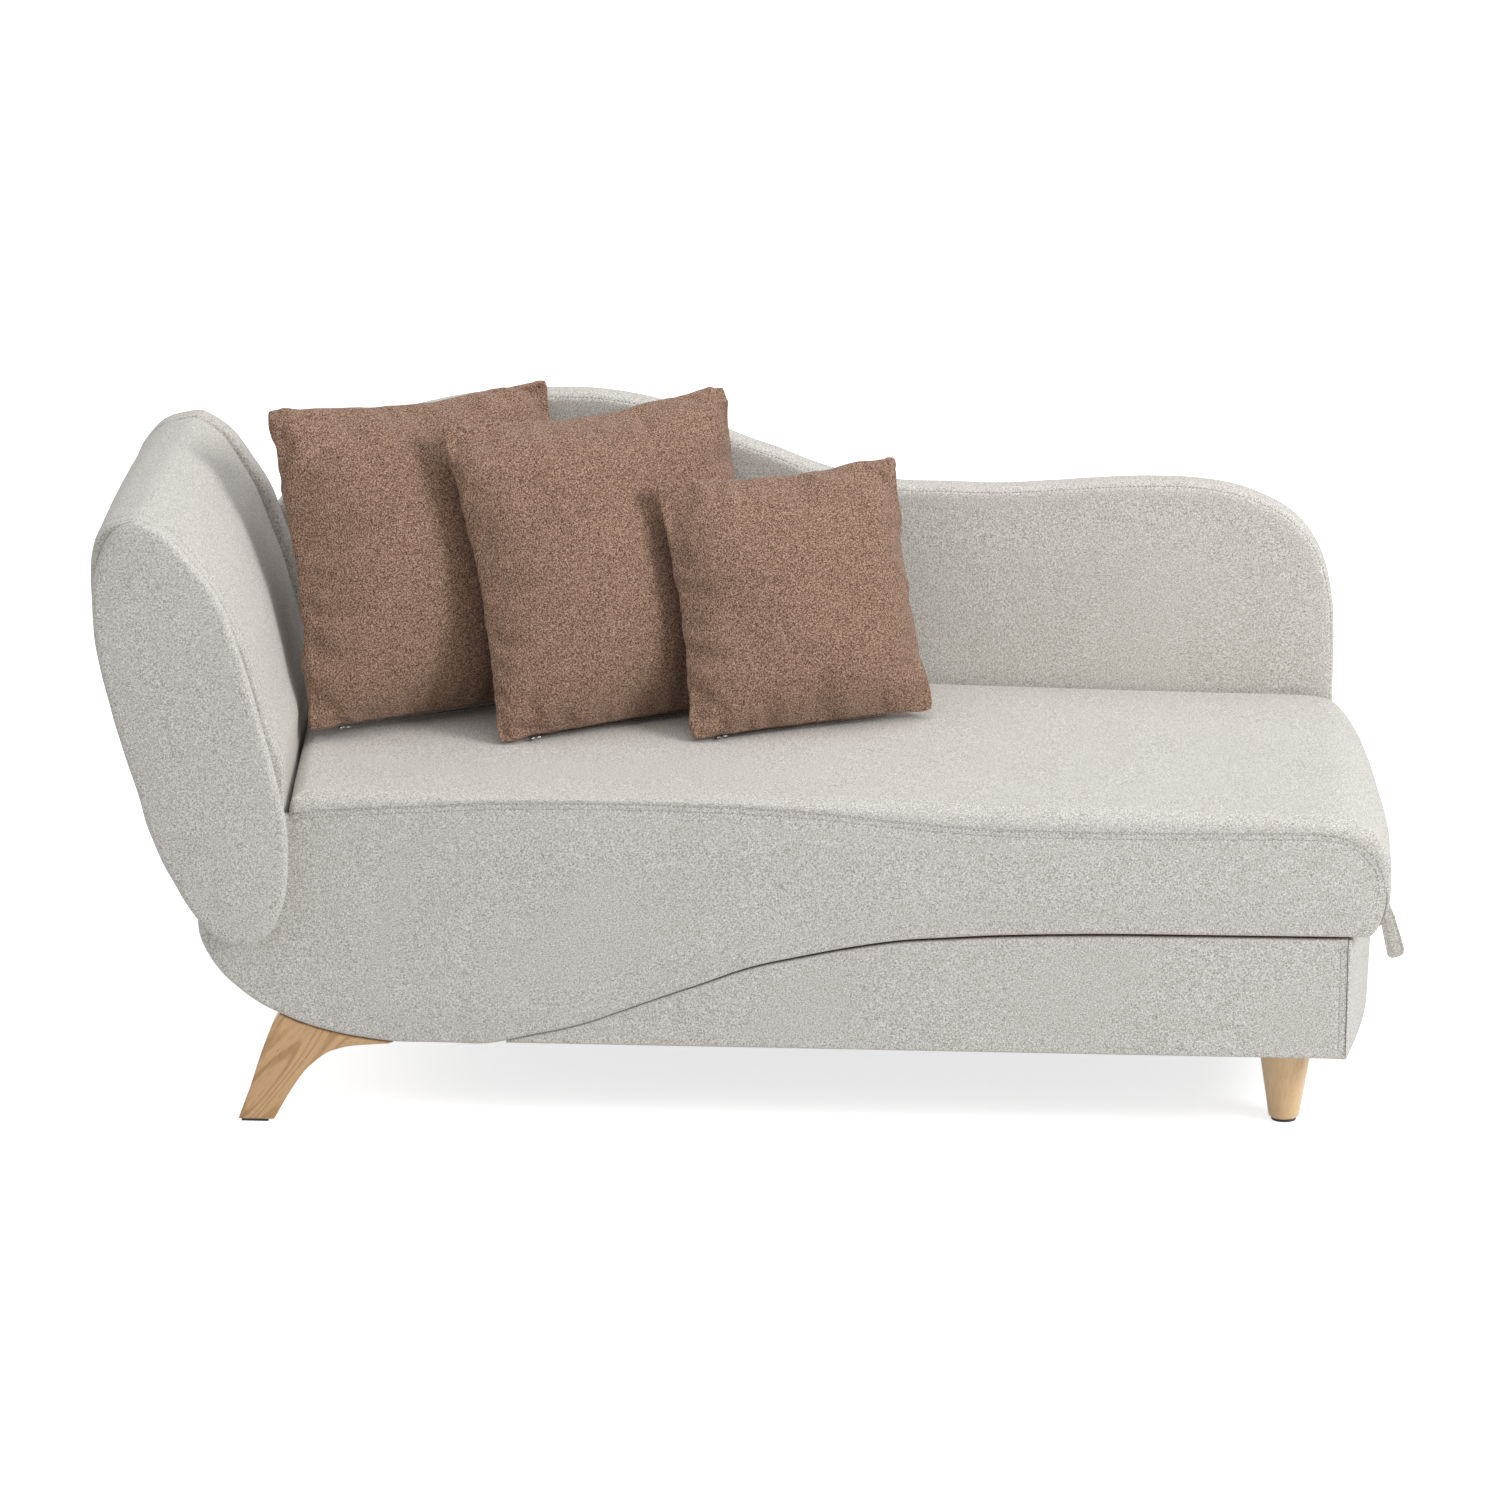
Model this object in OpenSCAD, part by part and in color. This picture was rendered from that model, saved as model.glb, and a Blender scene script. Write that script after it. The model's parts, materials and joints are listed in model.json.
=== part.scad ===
// Recamier with a lift-up storage seat, in millimetres, Z up, X along its length and Y to the rear.
// Outlines are drawn for a piece 1622 long on 108 legs, and ax() and up() fit them to the sizes below.

/* [Overall size] */
// Length over the head end and the pull strap
body_length = 1622; // [1530:1:1712]
// Depth over the front leaf and the rear panel
body_depth = 690; // [675:1:720]
// Height of the base underside above the floor
leg_height = 108; // [95:1:130]
// Height of the storage base, from its underside to the top of its rails
base_height = 156; // [150:1:169]
// Height of the seat top above the lid board
seat_pad_height = 141; // [136:1:150]
// Height of the rear panel hump above the seat top
back_height = 367; // [345:1:385]

/* [Upholstery] */
// Thickness of the padded leaf on the front of the backrest
leaf_thickness = 43; // [40:0.5:46]
// Thickness of the padding on the lid skirt
skirt_pad_thickness = 8; // [6:0.5:10]
// Thickness of the rear panel over its padding
rear_panel_thickness = 95; // [92:1:98]
// Crown of the seat top between its front and rear edges
seat_crown = 2; // [1:0.5:3]
// Clearance between the lid skirt and the leaf in front of it
layer_gap = 2; // [1.5:0.1:3]
// Clearance between soft forms and what lies next to them
soft_gap = 0.3; // [0.25:0.05:0.5]

/* [Timber] */
// Thickness of the base rails
rail_thickness = 22; // [20:1:24]
// Thickness of the lid board
lid_board_thickness = 18; // [15:1:20]
// Thickness of the plywood behind the lid skirt
skirt_board_thickness = 15; // [13:0.5:16]
// Thickness of the storage floor
floor_thickness = 12; // [9:1:15]
// Thickness of the two side boards of the backrest
side_board_thickness = 18; // [15:1:20]
// Gap between the rails and the lid board, filled by the bumpers
lid_gap = 4; // [3.5:0.1:5]

/* [Legs] */
// Thickness of the plank legs under the head end
plank_thickness = 41; // [38:1:44]
// Top diameter of the round legs under the foot end
round_leg_top = 70; // [62:1:74]
// Bottom diameter of the round legs
round_leg_bottom = 38; // [34:1:46]
// Thickness of the plastic glides under all legs
glide_height = 4; // [3:0.5:5]
// Diameter of the leg bolts
leg_bolt_diameter = 8; // [6:1:10]

/* [Lid hinges] */
// Diameter of the hinge pins
hinge_pin_diameter = 8; // [7:0.5:9]
// Thickness of the hinge plates
hinge_plate = 6; // [5:0.5:7]
// Clearance round the hinge pins in the base plates
hinge_clearance = 0.08; // [0.05:0.01:0.1]

/* [Gas struts] */
// Outer diameter of the strut cylinders
strut_cylinder_diameter = 18; // [16:0.5:20]
// Diameter of the strut rods
strut_rod_diameter = 8; // [6:0.5:9]
// Diameter of the pins that hold the struts
strut_pin_diameter = 6; // [5:0.5:7]
// Play round the lid pin in the rod eye
strut_play = 1.7; // [1.6:0.05:2]

/* [Cushions] */
// Side of the two large cushions over their corners
large_cushion = 410; // [396:1:416]
// Thickness of the two large cushions
large_cushion_thickness = 134; // [120:1:136]
// Side of the small cushion over its corners
small_cushion = 332; // [320:1:338]
// Thickness of the small cushion
small_cushion_thickness = 105; // [90:1:110]
// Share of their half side by which the cushion edges are drawn in
cushion_draw_in = 0.065; // [0.05:0.005:0.08]

/* [Pull strap] */
// Width of the strap through its two layers
strap_thickness = 4; // [3.4:0.1:5]

/* [Hidden] */
$fn = 48;
fit = 0.3;
drawn_length = 1622;
drawn_centre_x = -7;
rail_top = leg_height + base_height;
lid_bottom = rail_top + lid_gap;
lid_top = lid_bottom + lid_board_thickness;
seat_top = lid_top + seat_pad_height;
panel_top = seat_top + back_height;

// Maps a drawn X to the part, so that both ends lie equally far from the origin
function ax(x) = (x - drawn_centre_x) * body_length / drawn_length;
// Maps a drawn height to the part
function up(z) = lookup(z, [[0, 0], [108, leg_height], [264, rail_top], [268, lid_bottom],
    [286, lid_top], [427, seat_top], [794, panel_top]]);
function at(p) = [ax(p[0]), up(p[1])];
function limit(v, low, high) = max(low, min(high, v));

// Layers from front to rear
leaf_front_y = -body_depth / 2;
leaf_back_y = leaf_front_y + leaf_thickness;
skirt_front_y = leaf_back_y + layer_gap;
skirt_board_y = skirt_front_y + skirt_pad_thickness;
skirt_back_y = skirt_board_y + skirt_board_thickness;
front_rail_y = skirt_back_y + 3;
store_front_y = front_rail_y + rail_thickness;
rear_panel_back_y = body_depth / 2;
rear_panel_front_y = rear_panel_back_y - rear_panel_thickness;
rear_rail_back_y = rear_panel_front_y - soft_gap;
store_rear_y = rear_rail_back_y - rail_thickness;
store_mid_y = (store_front_y + store_rear_y) / 2;
seat_rear_y = rear_panel_front_y - 5;
board_rear_y = seat_rear_y - 5;
backrest_front_y = leaf_back_y + fit;
rear_leaf_back_y = rear_panel_front_y - 4;
rear_leaf_front_y = rear_leaf_back_y - 41;
backrest_rear_y = rear_leaf_front_y - soft_gap;

// Drawn outlines: heights over X of the base curve, the wave, the seam and the rear panel
base_curve = [[-678, 262], [-676, 243], [-669, 224], [-651, 196], [-627, 173],
    [-600, 153.5], [-575, 141.5], [-555, 132.8], [-529, 124.5], [-502, 118], [-477, 113.8],
    [-457, 111], [-437, 109]];
wave = [[-322, 109], [-270, 121], [-233, 129], [-196, 140], [-159, 154], [-110, 173], [-61, 191],
    [0, 214], [61, 229], [122, 242], [183, 252], [244, 257], [304, 261], [426, 265], [547, 266],
    [752, 267]];
seam = [[-557, 401], [-548, 403], [-426, 412], [-304, 419], [-182, 421], [-61, 420], [61, 415],
    [182, 404], [303, 396], [424, 395], [665, 398], [713, 395], [737, 385], [755, 369],
    [767, 348], [770, 320]];
skirt_end = [[752, 267], [760, 276], [766, 291], [770, 312]];
rear_crest = [[-712, 465], [-707, 505], [-698, 540], [-680, 585], [-660, 620], [-635, 652],
    [-590, 692], [-540, 728], [-487, 761], [-435, 776], [-383, 786], [-332, 792], [-280, 794],
    [-228, 794], [-177, 788], [-140, 779], [-113, 769], [-85, 755], [-61, 743], [-30, 731],
    [3, 720], [35, 707], [68, 696], [119, 685], [158, 680], [222, 679], [286, 678], [351, 682],
    [415, 687], [479, 690], [543, 688], [594, 679], [646, 657], [670, 638.5], [685, 621],
    [697, 600], [705, 580], [712, 551], [716, 525], [718, 490]];
rear_foot = [[-712, 445], [-707, 405], [-698, 360], [-680, 290], [-678, 262], [-669, 224],
    [-651, 196], [-627, 173], [-600, 155], [-566, 139], [-529, 126], [-492, 117], [-457, 112], [-437, 109],
    [705, 109], [716, 118], [718, 136]];

// Drawn edges over height of the leaf and the backrest
leaf_left = [[242, -616], [248, -641], [259, -657], [274, -671], [296, -686], [322, -700],
    [347, -713], [397, -732], [448, -745], [498, -760], [549, -773], [599, -784], [649, -789.5],
    [696, -789], [729, -780], [743, -774], [754, -768], [763, -760], [769, -750], [774, -738]];
leaf_right = [[242, -610], [251, -592], [266, -579], [284, -571], [307, -564], [331, -561],
    [380, -560], [424, -566], [456, -573], [520, -588.5], [557, -597.5], [590, -606.5],
    [621, -616], [658, -629], [700, -650], [735, -678], [763, -705], [769, -717], [774, -732]];
pad_left = [[264, -661], [280, -673], [310, -692], [341, -708], [397, -730], [448, -744],
    [549, -773], [600, -784], [640, -791], [691, -794.5], [715, -794], [738, -790], [749, -786.5],
    [758, -780], [765, -769], [771, -746]];
pad_right = [[264, -566], [460, -566], [507, -581], [557, -594], [606, -608], [641, -623],
    [682, -643], [717, -668], [748, -695], [763, -716], [771, -732]];
// Shift of the backrest's two faces from front to rear, over height
left_skew = [[264, -12], [440, -24], [771, -24]];
right_skew = [[264, -34], [440, -31], [520, -28], [607, -28], [665, -23], [715, -15], [761, -4], [771, -2]];

function base_z(x) = lookup(x, base_curve);
function wave_z(x) = lookup(x, wave);
function seam_z(x) = lookup(x, seam);
function skirt_low_z(x) = x < -437 ? base_z(x) : x < 752 ? wave_z(x) : lookup(x, skirt_end);
function rearward(y) = (y - backrest_front_y) / (rear_leaf_back_y - backrest_front_y);
function backrest_right(z, y) = ax(lookup(z, pad_right)) + lookup(z, right_skew) * rearward(y);
function backrest_left(z, y) = ax(lookup(z, pad_left)) + lookup(z, left_skew) * rearward(y);

fabric_color = [0.80, 0.79, 0.76];
brown_color = [0.44, 0.33, 0.27];
oak_color = [0.80, 0.61, 0.39];
beech_color = [0.86, 0.73, 0.58];
ply_color = [0.84, 0.72, 0.53];
foam_color = [0.95, 0.91, 0.74];
steel_color = [0.62, 0.63, 0.65];
black_color = [0.13, 0.13, 0.14];

// Extrudes a shape drawn in X and Z from y0 to y1
module across(y0, y1) {
    translate([0, y1, 0])
        rotate([90, 0, 0])
            linear_extrude(y1 - y0)
                children();
}

// Box between two corners
module block(low, high) {
    translate(low)
        cube(high - low);
}

// Cylinder along Y from y0 to y1
module pin_y(x, z, d, y0, y1) {
    translate([x, y1, z])
        rotate([90, 0, 0])
            cylinder(d = d, h = y1 - y0);
}

// Repeats its children at the front and, mirrored, at the rear of the storage box
module front_and_rear() {
    children();
    rear_copy()
        children();
}

module rear_copy() {
    translate([0, 2 * store_mid_y, 0])
        mirror([0, 1, 0])
            children();
}

// Closed skin over rings of equal length, which turn from the second axis to the third
module loft(rings) {
    m = len(rings[0]);
    n = len(rings);
    points = concat([for (r = rings) each r], [mean(rings[0]), mean(rings[n - 1])]);
    walls = [for (i = [0:n - 2], j = [0:m - 1]) each let (a = i * m + j, b = i * m + (j + 1) % m)
        [[a, b + m, b], [a, a + m, b + m]]];
    start = [for (j = [0:m - 1]) [n * m, j, (j + 1) % m]];
    end = [for (j = [0:m - 1]) [n * m + 1, (n - 1) * m + (j + 1) % m, (n - 1) * m + j]];
    polyhedron(points, concat(walls, start, end), convexity = 8);
}

function mean(list) = [for (k = [0:2]) total([for (p = list) p[k]]) / len(list)];
function total(list, i = 0) = i < len(list) ? list[i] + total(list, i + 1) : 0;

// Points of a quarter turn about c, from angle a to a + 90
function corner(c, ry, rz, a, steps) =
    [for (k = [0:steps]) let (t = a + 90 * k / steps) [c[0] + ry * cos(t), c[1] + rz * sin(t)]];
function round_box(low, high, r, steps = 2) =
    let (q = min(r, (high[0] - low[0]) * 0.49, (high[1] - low[1]) * 0.49))
    concat(corner([high[0] - q, high[1] - q], q, q, 0, steps),
        corner([low[0] + q, high[1] - q], q, q, 90, steps),
        corner([low[0] + q, low[1] + q], q, q, 180, steps),
        corner([high[0] - q, low[1] + q], q, q, 270, steps));

// Base box: curved at the head end, square at the foot end
wrap_thickness = 12;
glue_gap = 0.2;
head_rail_x = ax(-582);
head_rail_inner_x = head_rail_x + rail_thickness;
end_rail_x = ax(690);
end_rail_outer_x = end_rail_x + rail_thickness;
deck_thickness = 18;
deck_bottom = rail_top - deck_thickness;
deck_end_x = head_rail_x - 2;
head_rail_bottom = leg_height + 54;
rail_bottom = leg_height + 3;
floor_bottom = rail_bottom + 16;
floor_top = floor_bottom + floor_thickness;
floor_left_x = ax(-470);

// Points of the base curve, moved inward by d along their normals
function curve_inward(d) = [for (i = [0:len(base_curve) - 1])
    let (p = at(base_curve[max(i - 1, 0)]), q = at(base_curve[min(i + 1, len(base_curve) - 1)]),
        c = at(base_curve[i]), t = (q - p) / norm(q - p))
    [c[0] - t[1] * d, c[1] + t[0] * d]];
function reversed(list) = [for (i = [len(list) - 1:-1:0]) list[i]];

module side_rail_outline() {
    inner = curve_inward(wrap_thickness + glue_gap);
    under_deck = [for (p = inner) if (p[1] < deck_bottom - 8) p];
    polygon(concat([[under_deck[0][0], deck_bottom - glue_gap]], under_deck,
        [[end_rail_outer_x, rail_bottom], [end_rail_outer_x, rail_top], [deck_end_x + glue_gap, rail_top],
         [deck_end_x + glue_gap, deck_bottom - glue_gap]]));
}

module front_rail() {
    color(ply_color)
        difference() {
            across(front_rail_y, store_front_y)
                side_rail_outline();
            leg_bolt_holes();
        }
}

module rear_rail() {
    color(ply_color)
        difference() {
            across(store_rear_y, rear_rail_back_y)
                side_rail_outline();
            rear_panel_bolt_holes(rear_bolt_diameter + fit);
        }
}

module end_rail() {
    color(ply_color)
        block([end_rail_x, store_front_y + glue_gap, rail_bottom],
            [end_rail_outer_x, store_rear_y - glue_gap, rail_top]);
}

module head_rail() {
    color(ply_color)
        block([head_rail_x, store_front_y + glue_gap, head_rail_bottom],
            [head_rail_inner_x, store_rear_y - glue_gap, rail_top]);
}

// Glued blocks that brace the foot end corners of the base
block_leg = 45;
block_top = rail_top - 22;

module corner_blocks() {
    color(ply_color)
        front_and_rear()
            translate([end_rail_x - glue_gap, store_front_y + glue_gap, floor_top + glue_gap])
                linear_extrude(block_top - floor_top)
                    polygon([[0, 0], [0, block_leg], [-block_leg, 0]]);
}

deck_left_x = ax(-663);
backrest_bolt_x = ax(-640);
backrest_bolt_y = [backrest_front_y + 90, backrest_rear_y - 90];
backrest_bolt_diameter = 8;
backrest_bolt_reach = 46;

module head_deck() {
    color(ply_color)
        difference() {
            block([deck_left_x, front_rail_y, deck_bottom], [deck_end_x, rear_rail_back_y, rail_top]);
            backrest_bolt_holes(backrest_bolt_diameter + fit);
        }
}

module storage_floor() {
    color(ply_color)
        block([floor_left_x, store_front_y + glue_gap, floor_bottom],
            [end_rail_x - glue_gap, store_rear_y - glue_gap, floor_top]);
}

module floor_ledgers() {
    color(ply_color)
        front_and_rear()
            block([ax(-430), store_front_y + glue_gap, rail_bottom],
                [ax(600), store_front_y + 20, floor_bottom - glue_gap]);
}

cover_thickness = 1.4;

module dust_cover() {
    color(black_color)
        difference() {
            block([ax(-430), front_rail_y + 6, rail_bottom - glue_gap - cover_thickness],
                [end_rail_outer_x - 6, rear_rail_back_y - 6, rail_bottom - glue_gap]);
            round_leg_places()
                translate([0, 0, rail_bottom - 4])
                    cylinder(d = round_leg_top + 3, h = 6);
        }
}

// Upholstered curved end of the base under the head
module head_end_wrap() {
    color(fabric_color)
        difference() {
            across(front_rail_y, rear_rail_back_y)
                polygon(concat(curve_inward(0), reversed(curve_inward(wrap_thickness))));
            leg_bolt_holes();
        }
}

// Rubber pads on the rails, on which the lid rests
bumper_x = [ax(-380), ax(640)];
bumper_diameter = 14;

module lid_bumpers() {
    color(black_color)
        for (x = bumper_x)
            for (y = [front_rail_y + rail_thickness / 2, rear_rail_back_y - rail_thickness / 2])
                translate([x, y, rail_top])
                    cylinder(d = bumper_diameter, h = lid_gap - fit);
}

// Lower front panel, whose top edge follows the wave of the lid
wave_gap = 4;
lower_panel_recess = 4;
lower_pad_front_y = skirt_front_y + lower_panel_recess;
lower_pad_back_y = lower_pad_front_y + 8.7;
lower_panel_right_x = 725.5;
lower_bottom = leg_height + 1;
lower_x = [-268, -233, -196, -159, -110, -61, 0, 61, 122, 183, 244, 304, 426, 547,
    lower_panel_right_x - 10, lower_panel_right_x];

module lower_panel_board() {
    color(ply_color)
        across(lower_pad_back_y + soft_gap, front_rail_y - fit)
            polygon(concat([[ax(lower_panel_right_x - 4), lower_bottom + 4], [ax(-215), lower_bottom + 4]],
                [for (p = wave) if (p[0] > -200 && p[0] < 700) at(p) - [0, wave_gap + 5]],
                [[ax(lower_panel_right_x - 4), up(267) - wave_gap - 5]]));
}

module lower_panel_pad() {
    rings = [for (x = lower_x)
        let (top = up(wave_z(x)) - wave_gap, e = x == lower_panel_right_x ? 3 : 0)
        [for (p = round_box([lower_pad_front_y + e, lower_bottom], [lower_pad_back_y, top], 4, 2))
            [ax(x), p[0], p[1]]]];
    color(fabric_color)
        loft(rings);
}

// Bowed upholstered panel on the foot end, bowed most at its top
foot_panel_y = lower_pad_front_y;
foot_panel_rear_y = rear_panel_front_y - soft_gap;
foot_panel_x = end_rail_outer_x + soft_gap;
foot_front_x = ax(lower_panel_right_x + 0.8);
foot_top_x = ax(731);
foot_low_x = ax(728.5);
foot_bow = 34;
foot_low_bow = 32;
foot_steps = 12;

// Section of the panel at a depth, with its inner face at the given X
function foot_ring(y, in) =
    let (s = 2 * (y - foot_panel_y) / (foot_panel_rear_y - foot_panel_y) - 1, round = 1 - pow(abs(s), 1.7),
        e = abs(s) > 0.999 ? 1.5 : 0, x_top = foot_top_x + foot_bow * round - e,
        x_low = foot_low_x + foot_low_bow * round - e, top = rail_top - 2)
    [[in, y, top], [max(in + 0.5, x_top - 8), y, top], [x_top - 2, y, top - 4], [x_top, y, top - 16],
     [x_low, y, lower_bottom + 7], [max(in + 0.5, x_low - 5), y, lower_bottom], [in, y, lower_bottom]];

module foot_end_panel() {
    behind_y = front_rail_y + 0.5;
    color(fabric_color)
        loft(concat([foot_ring(foot_panel_y, foot_front_x), foot_ring(front_rail_y - 0.2, foot_front_x)],
            [for (i = [0:foot_steps])
                foot_ring(behind_y + (foot_panel_rear_y - behind_y) * i / foot_steps, foot_panel_x)]));
}

// Rear panel: a padded cover over a timber frame, bolted to the rear rail
rear_frame_y = rear_panel_front_y + 16;
rear_frame_back_y = rear_panel_back_y - 32;
rear_bolt_diameter = 8;
rear_bolt_x = [ax(-430), ax(-100), ax(260), ax(600)];
rear_bolt_z = rail_top - 40;
rear_panel_x = [-712, -707, -698, -680, -660, -635, -590, -540, -487, -435, -383, -332, -280, -228,
    -177, -140, -113, -85, -61, -30, 3, 35, 68, 119, 158, 222, 286, 415, 543, 594, 646,
    670, 685, 697, 705, 712, 716, 718];
frame_inset = 30;
frame_x = [-640, -590, -487, -383, -280, -177, -113, -61, 3, 68, 158, 286, 415, 543, 610, 660, 685];

module rear_bolt_row(d, y0, y1) {
    for (x = rear_bolt_x)
        pin_y(x, rear_bolt_z, d, y0, y1);
}

module rear_panel_bolt_holes(d) {
    rear_bolt_row(d, store_rear_y - 1, rear_frame_back_y - 6);
}

module rear_panel_bolts() {
    color(steel_color) {
        rear_bolt_row(rear_bolt_diameter, store_rear_y - 4, rear_frame_back_y - 8);
        rear_bolt_row(15, store_rear_y - 5, store_rear_y - glue_gap);
    }
}

// Outline of the frame: inset from the padded edge by d
module rear_frame_outline(d) {
    polygon(concat([for (x = frame_x) [ax(x), up(lookup(x, rear_crest)) - d]],
        [for (x = reversed(frame_x)) [ax(x), up(lookup(x, rear_foot)) + d]]));
}

// Windows of the frame as [left, right, top], shrunk by d
frame_window = [[-560, -330, 640], [-290, -70, 650], [-30, 200, 620], [240, 400, 620], [440, 620, 620]];
window_low = 305;

module frame_windows(d, reach) {
    for (w = frame_window)
        block([ax(w[0]) + d, rear_frame_y - reach, up(window_low) + d],
            [ax(w[1]) - d, rear_frame_back_y + reach, up(w[2]) - d]);
}

module rear_panel_foam() {
    color(foam_color)
        frame_windows(fit, 0);
}

module rear_panel_frame() {
    color(ply_color)
        difference() {
            across(rear_frame_y, rear_frame_back_y)
                rear_frame_outline(frame_inset);
            frame_windows(0, 1);
            rear_panel_bolt_holes(rear_bolt_diameter + 0.1);
            rear_leg_bolt_hole();
        }
}

// Domed top of the pad, from rear to front: share of the thickness from the front, and rise over the crest
panel_dome = [[1, -48], [0.96, -32], [0.87, -20], [0.74, -10], [0.58, -3], [0.42, 1.5], [0.26, 3.5],
    [0.12, 2], [0.04, -3], [0, -14]];
// Draw-in of the pad's front and rear faces, over the distance from its ends
panel_front_draw = [[0, 10], [5, 4], [14, 1], [20, 0]];
panel_back_draw = [[0, 40], [5, 26], [14, 12], [32, 3], [50, 0]];

module rear_panel_pad() {
    left = rear_panel_x[0];
    right = max(rear_panel_x);
    rings = [for (x = rear_panel_x)
        let (d = min(x - left, right - x), low = up(lookup(x, rear_foot)), high = up(lookup(x, rear_crest)),
            a = rear_panel_front_y + lookup(d, panel_front_draw),
            b = rear_panel_back_y - lookup(d, panel_back_draw),
            share = limit((high - low) / 200, 0, 1), r = min(14, (high - low) * 0.3))
        [for (p = concat([for (q = panel_dome) [a + (b - a) * q[0], high + share * q[1]]],
            corner([a + r, low + r], r, r, 180, 2), corner([b - r, low + r], r, r, 270, 2)))
            [ax(x), p[0], p[1]]]];
    color(fabric_color)
        difference() {
            loft(rings);
            across(rear_frame_y - soft_gap, rear_frame_back_y + soft_gap)
                rear_frame_outline(frame_inset - soft_gap);
            rear_panel_bolt_holes(rear_bolt_diameter + fit);
            rear_leg_bolt_hole();
        }
}

// Backrest: a timber frame in foam under a padded cover, with a padded leaf at each end
side_front_y = backrest_front_y + 12;
side_rear_y = backrest_rear_y - 12;
frame_heights = [290, 340, 385, 429, 485, 542, 600, 650, 700, 738];
cavity_y = [side_front_y - fit, side_rear_y + fit];
top_rail_z = [up(690), up(716)];
bottom_rail_z = [up(291), up(291) + 36];
backrest_rail_depth = 40;

// Outline of the backrest frame in X and Z, grown by d
module backrest_outline(d) {
    function height(z) = up(z) + (z == frame_heights[0] ? -d : z == max(frame_heights) ? d : 0);
    polygon(concat([for (z = frame_heights) [backrest_left(z, side_front_y) + 12 - d, height(z)]],
        [for (z = reversed(frame_heights)) [backrest_right(z, side_rear_y) - 18 + d, height(z)]]));
}

module backrest_side_front() {
    color(ply_color)
        across(side_front_y, side_front_y + side_board_thickness)
            backrest_outline(0);
}

module backrest_side_rear() {
    color(ply_color)
        across(side_rear_y - side_board_thickness, side_rear_y)
            backrest_outline(0);
}

// Rail between the side boards, grown by d on all but its ends
module backrest_rail(x, z, width, d) {
    block([x - width / 2 - d, side_front_y + side_board_thickness + fit - d, z[0] - d],
        [x + width / 2 + d, side_rear_y - side_board_thickness - fit + d, z[1] + d]);
}

module backrest_bottom_rail(d = 0) {
    color(ply_color)
        difference() {
            backrest_rail(backrest_bolt_x, bottom_rail_z, 26, d);
            if (d == 0)
                backrest_bolt_holes(backrest_bolt_diameter + 0.1);
        }
}

module backrest_top_rail(d = 0) {
    color(ply_color)
        backrest_rail(ax(-722), top_rail_z, backrest_rail_depth, d);
}

module backrest_foam() {
    color(foam_color)
        difference() {
            across(side_front_y + side_board_thickness + fit, side_rear_y - side_board_thickness - fit)
                backrest_outline(0);
            backrest_bottom_rail(fit);
            backrest_top_rail(fit);
            backrest_bolt_holes(backrest_bolt_diameter + fit);
        }
}

module backrest_bolt_holes(d) {
    for (y = backrest_bolt_y)
        translate([backrest_bolt_x, y, deck_bottom - 1])
            cylinder(d = d, h = backrest_bolt_reach + 29);
}

module backrest_bolts() {
    color(steel_color)
        for (y = backrest_bolt_y)
            translate([backrest_bolt_x, y, deck_bottom - glue_gap]) {
                cylinder(d = backrest_bolt_diameter, h = backrest_bolt_reach + 20);
                translate([0, 0, -4])
                    cylinder(d = 15, h = 4);
            }
}

pad_heights = [264.3, 272, 290, 320, 360, 400, 445, 485, 533, 585, 635, 679, 710, 735, 752, 764, 771];
// How far the rear leaf stands proud of the backrest's inner face, over height
leaf_proud = [[440, 2], [520, 10], [600, 16], [667, 16], [702, 13], [735, 10], [771, 5]];

// Ring of the backrest between two depths, shrunk by e at its ends and raised by rise at its top
function backrest_ring(z, y0, y1, r, proud, crown, rise) =
    let (e = lookup(z, [[264, 2], [272, 0], [728, 0], [750, 3], [763, 8], [771, 14]]),
        a = y0 + e, b = y1 - e, q = min(r, (b - a) * 0.45), zz = up(z) + rise * limit((z - 600) / 171, 0, 1),
        la = backrest_left(z, a), lb = backrest_left(z, b), ra = backrest_right(z, a) + proud,
        rb = backrest_right(z, b) + proud, w = min(q, (rb - lb) * 0.3))
    [[ra - w, a, zz], [ra - w * 0.3, a + q * 0.3, zz], [ra, a + q, zz],
        [(2 * ra + rb) / 3 + crown, (2 * a + b) / 3, zz], [(ra + 2 * rb) / 3 + crown, (a + 2 * b) / 3, zz],
        [rb, b - q, zz], [rb - w * 0.3, b - q * 0.3, zz], [rb - w, b, zz],
        [lb + w, b, zz], [lb + w * 0.3, b - q * 0.3, zz], [lb, b - q, zz],
        [la, a + q, zz], [la + w * 0.3, a + q * 0.3, zz], [la + w, a, zz]];

module backrest_pad() {
    color(fabric_color)
        difference() {
            loft([for (z = pad_heights)
                backrest_ring(z, backrest_front_y, backrest_rear_y, 16, 0, z > 470 && z < 740 ? 3 : 0, 0)]);
            across(cavity_y[0], cavity_y[1])
                backrest_outline(soft_gap);
            backrest_bolt_holes(backrest_bolt_diameter + fit);
        }
}

module rear_leaf() {
    color(fabric_color)
        loft([for (z = pad_heights)
            backrest_ring(z, rear_leaf_front_y, rear_leaf_back_y, 14, lookup(z, leaf_proud), 0, 7)]);
}

leaf_heights = [243.5, 249, 260, 274, 300, 331, 359, 390, 435, 485, 535, 580, 630, 672, 703, 736, 757, 768,
    774];
// Draw-in of the leaf at its ends, over height
leaf_rounding = [[243, 15], [249, 9], [260, 4], [279, 0], [727, 0], [752, 4], [766, 9], [774, 15]];

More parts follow.
